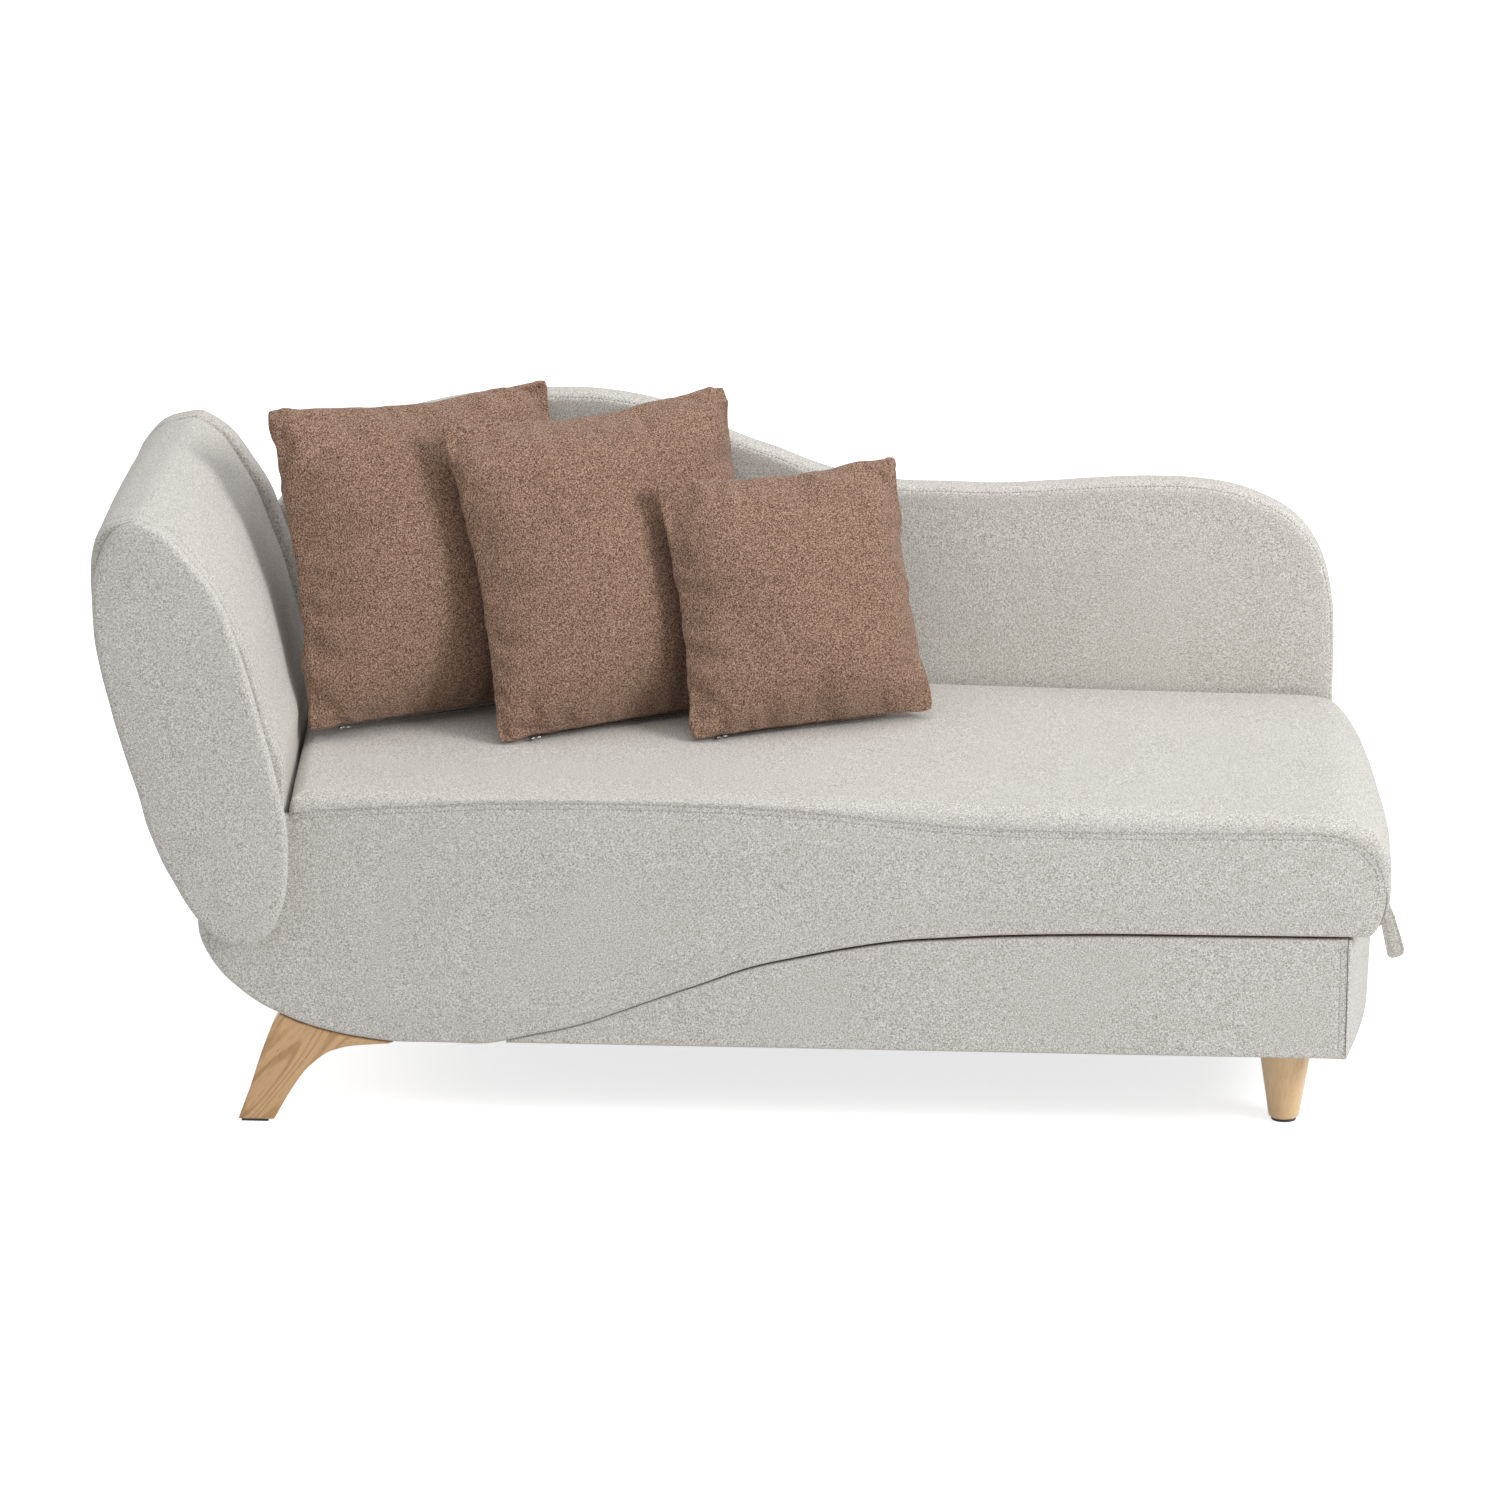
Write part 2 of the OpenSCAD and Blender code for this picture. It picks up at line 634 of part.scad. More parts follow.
module front_leaf() {
    rings = [for (z = leaf_heights)
        let (e = lookup(z, leaf_rounding), left = ax(lookup(z, leaf_left)), right = ax(lookup(z, leaf_right)),
            a = leaf_front_y + e, b = leaf_back_y - e / 3, w = min(16, (right - left) * 0.3),
            m = (left + right) / 2)
        [[right - w, a + 2, up(z)], [right - w * 0.3, a + 7, up(z)], [right, a + 16, up(z)],
            [right, b - 8, up(z)], [right - 5, b, up(z)], [left + 5, b, up(z)], [left, b - 8, up(z)],
            [left, a + 16, up(z)],
            [left + w * 0.3, a + 7, up(z)], [left + w, a + 2, up(z)], [m, a, up(z)]]];
    color(fabric_color)
        loft(rings);
}

// Legs
foot_drop = 1.5;
plank_front_y = skirt_front_y + 3;
plank_rear_y = rear_panel_back_y - 15 - plank_thickness;
leg_bolt_x = [ax(-568), ax(-538)];
leg_bolt_low = leg_height - 18;
leg_bolt_y = front_rail_y + 7.5;
leg_bolt_rear_y = rear_frame_back_y - 10;
leg_bolt_reach = 66;
leg_block = 66;
round_leg_x = end_rail_x - leg_block / 2 - 1;
round_leg_y = store_front_y + 45;
round_leg_z = rail_bottom - glue_gap;

// Plank leg drawn in X and Z: outer edge, foot, inner curve and the top edge under the base
module plank_outline() {
    outer = [[-589, 127], [-595, 113], [-606, 83], [-616, 52], [-635, 0]];
    inner = [[-592, 0], [-588, 6], [-572, 35], [-560, 54], [-549, 69], [-541, 77], [-532, 85], [-520, 93],
        [-508, 97.5], [-494, 101], [-466, 104], [-446, 105.5], [-440, 107.2]];
    under_base = concat([-440], [for (p = reversed(base_curve)) if (p[0] > -579 && p[0] < -440) p[0]], [-579]);
    difference() {
        polygon(concat([for (p = concat(outer, inner)) at(p)],
            [for (x = under_base) [ax(x), up(base_z(x)) - foot_drop]]));
        translate([ax(-660), -1])
            square([120, glide_height + 1]);
    }
}

module leg_bolt_run(d, z0, z1) {
    for (x = leg_bolt_x)
        translate([x, leg_bolt_y, z0])
            cylinder(d = d, h = z1 - z0);
}

module leg_bolt_holes() {
    leg_bolt_run(leg_bolt_diameter + fit, leg_bolt_low - 2, leg_height + 80);
}

module rear_leg_bolt_hole() {
    for (x = leg_bolt_x)
        translate([x, leg_bolt_rear_y, leg_bolt_low - 2])
            cylinder(d = leg_bolt_diameter + fit, h = 100);
}

module front_left_leg() {
    color(oak_color)
        difference() {
            across(plank_front_y, plank_front_y + plank_thickness)
                plank_outline();
            leg_bolt_holes();
        }
}

module rear_left_leg() {
    color(oak_color)
        difference() {
            across(plank_rear_y, plank_rear_y + plank_thickness)
                plank_outline();
            rear_leg_bolt_hole();
        }
}

module round_leg_places() {
    front_and_rear()
        translate([round_leg_x, round_leg_y, 0])
            children();
}

module round_leg() {
    edge = 2;
    color(beech_color)
        difference() {
            rotate_extrude()
                polygon([[0, glide_height], [round_leg_bottom / 2 - edge, glide_height],
                    [round_leg_bottom / 2, glide_height + edge], [round_leg_top / 2, round_leg_z - 3],
                    [round_leg_top / 2 - 1, round_leg_z], [0, round_leg_z]]);
            translate([0, 0, round_leg_z - 32])
                cylinder(d = leg_bolt_diameter + 0.1, h = 40);
        }
}

module front_right_leg() {
    translate([round_leg_x, round_leg_y, 0])
        round_leg();
}

module rear_right_leg() {
    rear_copy()
        front_right_leg();
}

module leg_mount_blocks() {
    color(ply_color)
        round_leg_places()
            difference() {
                translate([-leg_block / 2, -leg_block / 2 + 15, rail_bottom])
                    cube([leg_block, leg_block - 15, floor_bottom - glue_gap - rail_bottom]);
                translate([0, 0, rail_bottom - 1])
                    cylinder(d = leg_bolt_diameter + 0.1, h = 20);
            }
}

module leg_bolts() {
    reach = 26;
    color(steel_color) {
        leg_bolt_run(leg_bolt_diameter, leg_bolt_low, leg_height + leg_bolt_reach);
        for (x = leg_bolt_x)
            translate([x, leg_bolt_rear_y, leg_bolt_low])
                cylinder(d = leg_bolt_diameter, h = leg_height + leg_bolt_reach - leg_bolt_low);
        round_leg_places()
            translate([0, 0, round_leg_z - reach])
                cylinder(d = leg_bolt_diameter, h = reach + 11);
    }
}

module plank_glides() {
    color(black_color)
        for (y = [plank_front_y, plank_rear_y])
            block([ax(-630), y + 5, 0], [ax(-597), y + plank_thickness - 5, glide_height - 0.05]);
}

module round_glides() {
    color(black_color)
        round_leg_places()
            cylinder(d = round_leg_bottom - 7, h = glide_height - 0.05);
}

// Lid: board, padded seat, and the wavy skirt on its front
hinge_x = ax(-532);
hinge_z = seat_top - 32;
hinge_y = store_front_y + 47;
hinge_eye = 30;
lid_board_left_x = ax(-545);
lid_board_right_x = ax(745);
seat_wrap_x = 746;
foam_right_x = ax(690);

// Drawn seat profile over X: top, front edge, underside at the foot end, and how far each side draws in
seat_top_line = [[-557, 407], [-551.5, 421], [-537, 427], [-400, 428], [0, 428], [250, 424], [500, 420],
    [690, 418], [713, 417], [730, 413], [745, 405], [757, 394], [768, 378], [778, 356], [783, 338]];
seat_edge_line = [[-557, 395], [-551.5, 402.5], [-537, 404], [-426, 412.4], [-304, 419.4],
    [-182, 421.4], [-61, 420.4], [61, 415.4], [182, 404.4], [303, 396.4], [424, 395.4], [665, 398.4],
    [713, 395.4], [737, 385.4], [755, 370], [768, 362], [778, 346], [783, 332]];
seat_tuck_line = [[746, 268], [760, 269], [768, 278], [778, 292], [783, 314]];
seat_rear_draw = [[690, 0], [713, 5], [730, 25], [745, 62], [757, 112], [768, 200], [778, 330], [783, 400]];
seat_front_draw = [[768, 0], [778, 12], [783, 90]];
seat_x = [-557, -551.5, -537, -480, -426, -304, -182, -61, 61, 182, 303, 424, 545, 665, 690, 713, 730, 745,
    745.8, 746, 751, 757, 763, 768, 773, 778, 783];
seat_skew = 35;

// Left shift of the seat end, which follows the face of the backrest
function seat_shift(x, y) = -seat_skew * limit((-300 - x) / 257, 0, 1)
    * (y - skirt_front_y) / (seat_rear_y - skirt_front_y);
function crown_at(f) = seat_crown * (1 - pow(2 * f - 1, 2));
function seat_ring(x) =
    let (low = x < seat_wrap_x ? lid_top + fit : up(lookup(x, seat_tuck_line)),
        edge = up(lookup(x, seat_edge_line)), top = up(lookup(x, seat_top_line)),
        a = skirt_front_y + lookup(x, seat_front_draw), b = seat_rear_y - lookup(x, seat_rear_draw),
        roll = min(32, (b - a) * 0.3), r = min(14, (top - low) * 0.4), n = b - r, f = a + roll,
        crown = x < 700 ? 1 : 0)
    [for (p = concat([[a + 2, low], [b - 3, low], [b, low + 4]], corner([b - r, top - r], r, r, 0, 3),
        [for (k = [3:-1:1]) [f + (n - f) * k / 4, top + crown * crown_at(k / 4)]],
        corner([a + roll, edge], roll, top - edge, 90, 4), [[a, low + 2]]))
        [ax(x) + seat_shift(x, p[0]), p[0], p[1]]];

// Height of the seat top under a point
function seat_surface(x, y) = up(lookup(x / body_length * drawn_length + drawn_centre_x, seat_top_line))
    + crown_at(limit((y - skirt_front_y - 32) / (seat_rear_y - skirt_front_y - 46), 0, 1));

module skirt_outline() {
    low = [for (p = wave) if (p[0] > -300) p];
    polygon([for (p = concat(base_curve, [wave[0]], low, [skirt_end[1], skirt_end[2],
        skirt_end[3]], reversed(seam), [[-557.5, 262]])) at(p)]);
}

module hinge_slots() {
    front_and_rear()
        block([ax(-612), hinge_y - 12, lid_bottom - 1],
            [ax(-430), hinge_y + 42, hinge_z + hinge_eye / 2 + 3]);
}

module lid_board() {
    color(ply_color)
        difference() {
            translate([0, 0, lid_bottom])
                linear_extrude(lid_board_thickness)
                    polygon([[lid_board_left_x, skirt_back_y + fit], [lid_board_right_x, skirt_back_y + fit],
                        [lid_board_right_x, seat_rear_y - 115], [ax(730), seat_rear_y - 52],
                        [ax(713), seat_rear_y - 20], [ax(690), seat_rear_y - 9],
                        [lid_board_left_x, board_rear_y]]);
            front_and_rear()
                block([lid_board_left_x - 1, hinge_y - 12, lid_bottom - 1],
                    [ax(-507), hinge_y + 14, lid_top + 1]);
        }
}

module seat_foam_box(d) {
    block([ax(-525) - d, skirt_back_y + 9 - d, lid_top + glue_gap - d],
        [foam_right_x + d, seat_rear_y - 19 + d, up(408) + d]);
}

module seat_foam() {
    color(foam_color)
        difference() {
            seat_foam_box(0);
            hinge_slots();
        }
}

module seat_pad() {
    color(fabric_color)
        difference() {
            loft([for (x = seat_x) seat_ring(x)]);
            seat_foam_box(soft_gap);
            hinge_slots();
            across(skirt_front_y - 5, skirt_back_y + soft_gap)
                offset(delta = soft_gap)
                    skirt_outline();
        }
}

// Plywood behind the skirt, set in from its edge
skirt_inset = 5;

module skirt_board() {
    low = [for (p = wave) if (p[0] > -300 && p[0] < 740) [p[0] - 1, p[1] + skirt_inset + 0.5]];
    end = [[746, 276], [757, 296], [761, 318], [757, 343], [746, 362], [731, 377], [711, 389]];
    top = [for (p = seam) if (p[0] > -550 && p[0] < 700) [p[0], p[1] - skirt_inset]];
    rim = [for (p = curve_inward(skirt_inset)) if (p[1] < up(250)) p];
    color(ply_color)
        across(skirt_board_y + soft_gap, skirt_back_y)
            polygon(concat([[rim[0][0], up(257)]], rim, [for (p = low) at(p)], [for (p = end) at(p)],
                [for (p = reversed(top)) at(p)], [at([-552, 398]), at([-552, 257])]));
}

skirt_x = [-677, -676, -669, -651, -627, -600, -566, -557.5, -557, -529, -492, -437, -372, -307, -270, -233,
    -196, -159, -110, -61, 0, 61, 122, 182, 244, 303, 365, 426, 547, 665, 713, 737, 752, 760, 766, 770];

module skirt_pad() {
    rings = [for (x = skirt_x)
        let (low = up(x < -676 ? 255 : skirt_low_z(x)), top = up(x < -557 ? 262 : seam_z(x)),
            h = top - low, r = min(6, h * 0.3), e = x < -676 || x > 769 ? 3 : 0,
            crown = 3 * limit((x + 540) / 200, 0, 1) * limit(h / 80, 0, 1),
            f = skirt_front_y + e, b = skirt_board_y)
        [for (p = [[b, low], [b, top], [f + r, top], [f + r * 0.3, top - r * 0.3], [f, top - r],
            [f - crown, (low + top) / 2], [f, low + r], [f + r * 0.3, low + r * 0.3], [f + r, low]])
            [ax(x), p[0], p[1]]]];
    color(fabric_color)
        loft(rings);
}

// Lid hinges: base plates on the head rail, lid plates on the board and a pin each
hinge_foot_x = head_rail_inner_x + glue_gap;
hinge_low_z = rail_top - 70;
lid_plate = hinge_plate - 1;

module hinge_base_plates() {
    flange = 4;
    color(steel_color)
        front_and_rear()
            difference() {
                union() {
                    across(hinge_y - hinge_plate / 2, hinge_y + hinge_plate / 2) {
                        polygon([[hinge_foot_x, hinge_low_z], [hinge_foot_x + 28, hinge_low_z],
                            [hinge_x + hinge_eye / 2, hinge_z], [hinge_x - hinge_eye / 2, hinge_z]]);
                        translate([hinge_x, hinge_z])
                            circle(d = hinge_eye);
                    }
                    block([hinge_foot_x, hinge_y - 20, hinge_low_z],
                        [hinge_foot_x + flange, hinge_y + 20, rail_top - 12]);
                }
                pin_y(hinge_x, hinge_z, hinge_pin_diameter + 2 * hinge_clearance, hinge_y - 20, hinge_y + 20);
            }
}

module hinge_lid_plates() {
    flange = 4;
    y = hinge_y + hinge_plate / 2 + 0.5;
    foot = lid_top + glue_gap;
    color(steel_color)
        front_and_rear()
            difference() {
                union() {
                    across(y, y + lid_plate) {
                        polygon([[hinge_x - hinge_eye / 2, hinge_z], [ax(-500), foot], [ax(-440), foot],
                            [ax(-440), foot + flange], [hinge_x + hinge_eye / 2, hinge_z]]);
                        translate([hinge_x, hinge_z])
                            circle(d = hinge_eye);
                    }
                    block([ax(-500), y, foot], [ax(-440), y + 32, foot + flange]);
                }
                pin_y(hinge_x, hinge_z, hinge_pin_diameter + 0.1, hinge_y - 20, hinge_y + 20);
            }
}

module hinge_pins() {
    head = 3;
    low = hinge_y - hinge_plate / 2 - 0.4;
    high = hinge_y + hinge_plate / 2 + 0.5 + lid_plate + 0.3;
    color(black_color)
        front_and_rear() {
            pin_y(hinge_x, hinge_z, hinge_pin_diameter, low - 1, high + 1);
            pin_y(hinge_x, hinge_z, hinge_pin_diameter + 6, low - head, low);
            pin_y(hinge_x, hinge_z, hinge_pin_diameter + 6, high, high + head);
        }
}

// Gas struts between the base rails and the lid board
strut_y = store_front_y + 14;
strut_base_x = hinge_x + 12;
strut_base_z = floor_top + 11;
strut_lid_x = hinge_x + 207;
strut_lid_z = lid_bottom - 22;
strut_rest_length = norm([strut_lid_x - strut_base_x, strut_lid_z - strut_base_z]);
strut_angle = atan2(strut_lid_z - strut_base_z, strut_lid_x - strut_base_x);
strut_eye_offset = 1.2;
strut_eye = 18;
strut_cylinder_end = strut_rest_length - 22;
strut_rod_length = 148;

module along_strut() {
    translate([strut_base_x, strut_y, strut_base_z])
        rotate([0, -strut_angle, 0])
            children();
}

// Cylinder along the strut from a to b
module strut_run(d, a, b) {
    translate([a, 0, 0])
        rotate([0, 90, 0])
            cylinder(d = d, h = b - a);
}

module front_strut_cylinder() {
    wall = 2.4;
    color(black_color)
        along_strut()
            difference() {
                union() {
                    pin_y(0, 0, strut_eye, -4, 4);
                    block([0, -4, -5], [16, 4, 5]);
                    strut_run(strut_cylinder_diameter, 13, strut_cylinder_end);
                }
                strut_run(strut_cylinder_diameter - 2 * wall, 24, strut_cylinder_end - 6);
                strut_run(strut_rod_diameter + 0.5, 30, strut_cylinder_end + 1);
                pin_y(0, 0, strut_pin_diameter + 0.4, -6, 6);
            }
}

module front_strut_rod() {
    tip = strut_rest_length + strut_eye_offset - strut_rod_length;
    end = strut_rest_length + strut_eye_offset;
    neck = strut_eye / 2 + strut_play + 2;
    color(steel_color)
        along_strut()
            difference() {
                union() {
                    strut_run(strut_rod_diameter, tip, end - neck);
                    block([end - neck - 1, -3, -4], [end - 5, 3, 4]);
                    strut_run(strut_cylinder_diameter - 5.2, tip, tip + 8);
                    pin_y(end, 0, strut_eye, -3, 3);
                }
                pin_y(end, 0, strut_pin_diameter + 2 * strut_play, -6, 6);
            }
}

module rear_strut_cylinder() {
    rear_copy()
        front_strut_cylinder();
}

module rear_strut_rod() {
    rear_copy()
        front_strut_rod();
}

module strut_base_brackets() {
    plate = 3;
    y = store_front_y + glue_gap;
    color(steel_color)
        front_and_rear() {
            block([strut_base_x - 22, y, strut_base_z - 7],
                [strut_base_x + 22, y + plate, strut_base_z + 24]);
            pin_y(strut_base_x, strut_base_z, strut_pin_diameter, y + plate - 1, strut_y + 6);
            pin_y(strut_base_x, strut_base_z, strut_pin_diameter + 5, strut_y + 4.6, strut_y + 7);
        }
}

module strut_lid_brackets() {
    plate = 3;
    y = strut_y + 3.6;
    top = lid_bottom - glue_gap;
    color(steel_color)
        front_and_rear() {
            across(y, y + plate) {
                polygon([[strut_lid_x - 9, strut_lid_z], [strut_lid_x + 9, strut_lid_z],
                    [strut_lid_x + 14, top], [strut_lid_x - 14, top]]);
                translate([strut_lid_x, strut_lid_z])
                    circle(d = strut_eye);
            }
            block([strut_lid_x - 25, y, top - plate], [strut_lid_x + 25, y + 30, top]);
            pin_y(strut_lid_x, strut_lid_z, strut_pin_diameter, strut_y - 6, y + 1);
            pin_y(strut_lid_x, strut_lid_z, strut_eye - 5, strut_y - 6.6, strut_y - 3.8);
        }
}

// Folded webbing loop sewn to the foot end of the lid
strap_y = skirt_front_y + 200;

module pull_strap() {
    strap = [[762.1, 269.1], [773.6, 283.5], [778, 266], [785, 245], [804, 189], [803.3, 182], [798, 177.5],
        [787, 175.5], [782, 178.5], [772, 225], [764, 255]];
    fold = [[740, 250], [800, 262], [830, 192], [760, 186]];
    color(fabric_color)
        difference() {
            across(strap_y - strap_thickness / 2, strap_y + strap_thickness / 2)
                polygon([for (p = strap) at(p)]);
            across(strap_y - 0.5, strap_y + 0.5)
                polygon([for (p = fold) at(p)]);
        }
}

// Loose cushions: centre in plan, turn, lean and roll of each
left_pose = [ax(-427), 73, 36.2, 16.7, -1.7];
right_pose = [ax(-194), 75, 32.5, 21.5, 0.5];
small_pose = [ax(35), 56, 24.9, 21, 0.6];
cushion_steps = 14;
zip_flat = 0.39;
zip_start = -0.76;
zip_end = 0.6;

function cushion_right(p) = let (side = [cos(p[2]), sin(p[2]), 0], back = [-sin(p[2]), cos(p[2]), 0],
    rise = cos(p[3]) * [0, 0, 1] + sin(p[3]) * back) cos(p[4]) * side + sin(p[4]) * rise;
function cushion_up(p) = let (side = [cos(p[2]), sin(p[2]), 0], back = [-sin(p[2]), cos(p[2]), 0],
    rise = cos(p[3]) * [0, 0, 1] + sin(p[3]) * back) cos(p[4]) * rise - sin(p[4]) * side;
// Height of the centre at which a bottom corner comes to rest on the seat
function corner_rise(p, h, s) = let (d = h * (s * cushion_right(p) - cushion_up(p)))
    seat_surface(p[0] + d[0], p[1] + d[1]) + soft_gap - d[2];
function cushion_z(p, size) = max(corner_rise(p, size / 2, -1), corner_rise(p, size / 2, 1));

module cushion_place(p, size) {
    translate([p[0], p[1], cushion_z(p, size)])
        rotate([0, 0, p[2]])
            rotate([-p[3], 0, 0])
                rotate([0, -p[4], 0])
                    children();
}

// Pillow drawn in X and Z: full in the middle, with drawn-in sides and a knife edge
module pillow(size, thick) {
    n = cushion_steps;
    h = size / 2;
    function place(i, j, s) = let (u = sin(-90 + 180 * i / n), v = sin(-90 + 180 * j / n),
        bottom = v < 0 ? min(1 - u * u, zip_flat) : 1 - u * u,
        fill = sqrt(max(0, 1 - u * u) * max(0, 1 - v * v)))
        [h * u * (1 - cushion_draw_in * (1 - v * v)), -s * thick / 2 * fill,
            h * v * (1 - cushion_draw_in * bottom)];
    function id(i, j, s) = s > 0 || i == 0 || j == 0 || i == n || j == n ? i * (n + 1) + j
        : (n + 1) * (n + 1) + (i - 1) * (n - 1) + j - 1;
    points = concat([for (i = [0:n], j = [0:n]) place(i, j, 1)],
        [for (i = [1:n - 1], j = [1:n - 1]) place(i, j, -1)]);
    function cell(i, j, s) = [id(i, j, s), id(i + 1, j, s), id(i + 1, j + 1, s), id(i, j + 1, s)];
    // Each cell is cut along the diagonal that runs towards the nearest corner
    function diagonal(i, j) = (i < n / 2) == (j < n / 2) ? [[0, 2, 1], [0, 3, 2]] : [[0, 3, 1], [1, 3, 2]];
    front = [for (i = [0:n - 1], j = [0:n - 1]) each let (q = cell(i, j, 1))
        [for (t = diagonal(i, j)) [q[t[0]], q[t[1]], q[t[2]]]]];
    back = [for (i = [0:n - 1], j = [0:n - 1]) each let (q = cell(i, j, -1))
        [for (t = diagonal(i, j)) [q[t[0]], q[t[2]], q[t[1]]]]];
    color(brown_color)
        polyhedron(points, concat(front, back), convexity = 4);
}

// Height of the straight run of the bottom edge, where the zip is sewn in
function zip_line(size) = -size / 2 * (1 - cushion_draw_in * zip_flat);

module zip_tape(p, size) {
    z = zip_line(size) - soft_gap;
    color(brown_color)
        cushion_place(p, size)
            block([zip_start * size / 2 - 4, -2.4, z - 0.8], [zip_end * size / 2, 2.4, z]);
}

module zip_slider(p, size) {
    z = zip_line(size) - soft_gap - 1;
    color(black_color)
        cushion_place(p, size)
            translate([zip_start * size / 2, 0, z]) {
                block([-4, -2.2, -1.8], [4, 2.2, 0]);
                block([-2, -15, -1.4], [2, -2, -0.2]);
            }
}

module cushion_large_left() {
    cushion_place(left_pose, large_cushion)
        pillow(large_cushion, large_cushion_thickness);
}

module cushion_large_right() {
    cushion_place(right_pose, large_cushion)
        pillow(large_cushion, large_cushion_thickness);
}

module cushion_small() {
    cushion_place(small_pose, small_cushion)
        pillow(small_cushion, small_cushion_thickness);
}

module zip_tape_large_left() {
    zip_tape(left_pose, large_cushion);
}

module zip_tape_large_right() {
    zip_tape(right_pose, large_cushion);
}

module zip_tape_small() {
    zip_tape(small_pose, small_cushion);
}

module zip_slider_large_left() {
    zip_slider(left_pose, large_cushion);
}

module zip_slider_large_right() {
    zip_slider(right_pose, large_cushion);
}

module zip_slider_small() {
    zip_slider(small_pose, small_cushion);
}

front_rail();
rear_rail();
end_rail();
head_rail();
corner_blocks();
head_deck();
storage_floor();
floor_ledgers();
dust_cover();
head_end_wrap();
lower_panel_board();
lower_panel_pad();
foot_end_panel();
rear_panel_frame();
rear_panel_foam();
rear_panel_pad();
rear_panel_bolts();
backrest_side_front();
backrest_side_rear();
backrest_bottom_rail();
backrest_top_rail();
backrest_foam();
backrest_pad();
front_leaf();
rear_leaf();
backrest_bolts();
front_left_leg();
rear_left_leg();
front_right_leg();
rear_right_leg();
leg_mount_blocks();
leg_bolts();
plank_glides();
round_glides();
lid_bumpers();
hinge_base_plates();
strut_base_brackets();
lid_board();
seat_foam();
seat_pad();
skirt_board();
skirt_pad();
hinge_lid_plates();
hinge_pins();
strut_lid_brackets();
front_strut_cylinder();
front_strut_rod();
rear_strut_cylinder();
rear_strut_rod();
pull_strap();
cushion_large_left();
cushion_large_right();
cushion_small();
zip_tape_large_left();
zip_tape_large_right();
zip_tape_small();
zip_slider_large_left();
zip_slider_large_right();
zip_slider_small();
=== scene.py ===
"""Looks of the recamier: covers, cushions, timber and fittings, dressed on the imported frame."""

import json
import logging
import math
from dataclasses import dataclass
from enum import Enum
from itertools import accumulate
from typing import Callable, Sequence

import bmesh
import bpy
import numpy as np
from mathutils import Matrix, Vector, noise
from mathutils.geometry import delaunay_2d_cdt


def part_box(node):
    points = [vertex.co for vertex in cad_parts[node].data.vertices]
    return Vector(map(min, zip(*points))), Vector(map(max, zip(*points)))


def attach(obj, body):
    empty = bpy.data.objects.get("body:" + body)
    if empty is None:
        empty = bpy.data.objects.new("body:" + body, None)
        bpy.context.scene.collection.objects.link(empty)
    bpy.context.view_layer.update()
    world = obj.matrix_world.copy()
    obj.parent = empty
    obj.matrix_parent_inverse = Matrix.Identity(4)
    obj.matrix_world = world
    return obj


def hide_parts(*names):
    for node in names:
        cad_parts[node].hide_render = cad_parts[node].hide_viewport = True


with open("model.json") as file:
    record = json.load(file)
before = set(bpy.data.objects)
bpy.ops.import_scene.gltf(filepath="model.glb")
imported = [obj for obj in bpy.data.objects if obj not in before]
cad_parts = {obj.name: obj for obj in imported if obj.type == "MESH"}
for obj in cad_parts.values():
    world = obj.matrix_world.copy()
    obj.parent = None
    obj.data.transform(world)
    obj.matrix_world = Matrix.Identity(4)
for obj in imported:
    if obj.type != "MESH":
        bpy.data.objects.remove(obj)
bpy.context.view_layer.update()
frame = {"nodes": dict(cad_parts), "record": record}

log = logging.getLogger("recamier")
Depth = Callable[[np.ndarray, np.ndarray], np.ndarray]
Colour = tuple[float, float, float]
Socket = bpy.types.NodeSocket

MM = 0.001
MIDDLE_X = -7.0

# Drawn outlines in millimetres: X over the length, then the height
BASE_CURVE = [(-678, 262), (-676, 243), (-669, 224), (-651, 196), (-627, 173), (-600, 153.5), (-575, 141.5),
              (-555, 132.8), (-529, 124.5), (-502, 118), (-477, 113.8), (-457, 111), (-437, 109)]
WAVE = [(-322, 109), (-270, 121), (-233, 129), (-196, 140), (-159, 154), (-110, 173), (-61, 191), (0, 214),
        (61, 229), (122, 242), (183, 252), (244, 257), (304, 261), (426, 265), (547, 266), (752, 267)]
SEAM = [(-590, 397), (-557, 401), (-548, 403), (-426, 412), (-304, 419), (-182, 421), (-61, 420), (61, 415),
        (182, 404), (303, 396), (424, 395), (545, 396), (665, 398), (713, 395), (737, 385), (755, 369),
        (767, 348), (770, 320)]
SKIRT_END = [(752, 267), (760, 276), (766, 291), (770, 312)]
REAR_CREST = [(-712, 465), (-707, 505), (-698, 540), (-680, 585), (-660, 620), (-635, 652), (-590, 692),
              (-540, 729), (-487, 762.5), (-435, 778), (-383, 788), (-332, 794), (-280, 796), (-228, 795),
              (-177, 788), (-140, 779), (-113, 769), (-85, 755), (-61, 743), (-30, 731), (3, 720), (35, 707),
              (68, 696), (119, 685), (158, 680), (222, 679), (286, 678), (351, 682), (415, 687), (479, 690),
              (543, 688), (594, 679), (646, 657), (670, 638.5), (685, 621), (697, 600), (705, 580),
              (712, 551), (716, 525), (718, 490)]
REAR_FOOT = [(-712, 445), (-707, 405), (-698, 360), (-680, 290), (-678, 262), (-669, 224), (-651, 196),
             (-627, 173), (-600, 155), (-566, 139), (-529, 126), (-492, 117), (-457, 112), (-437, 109)]
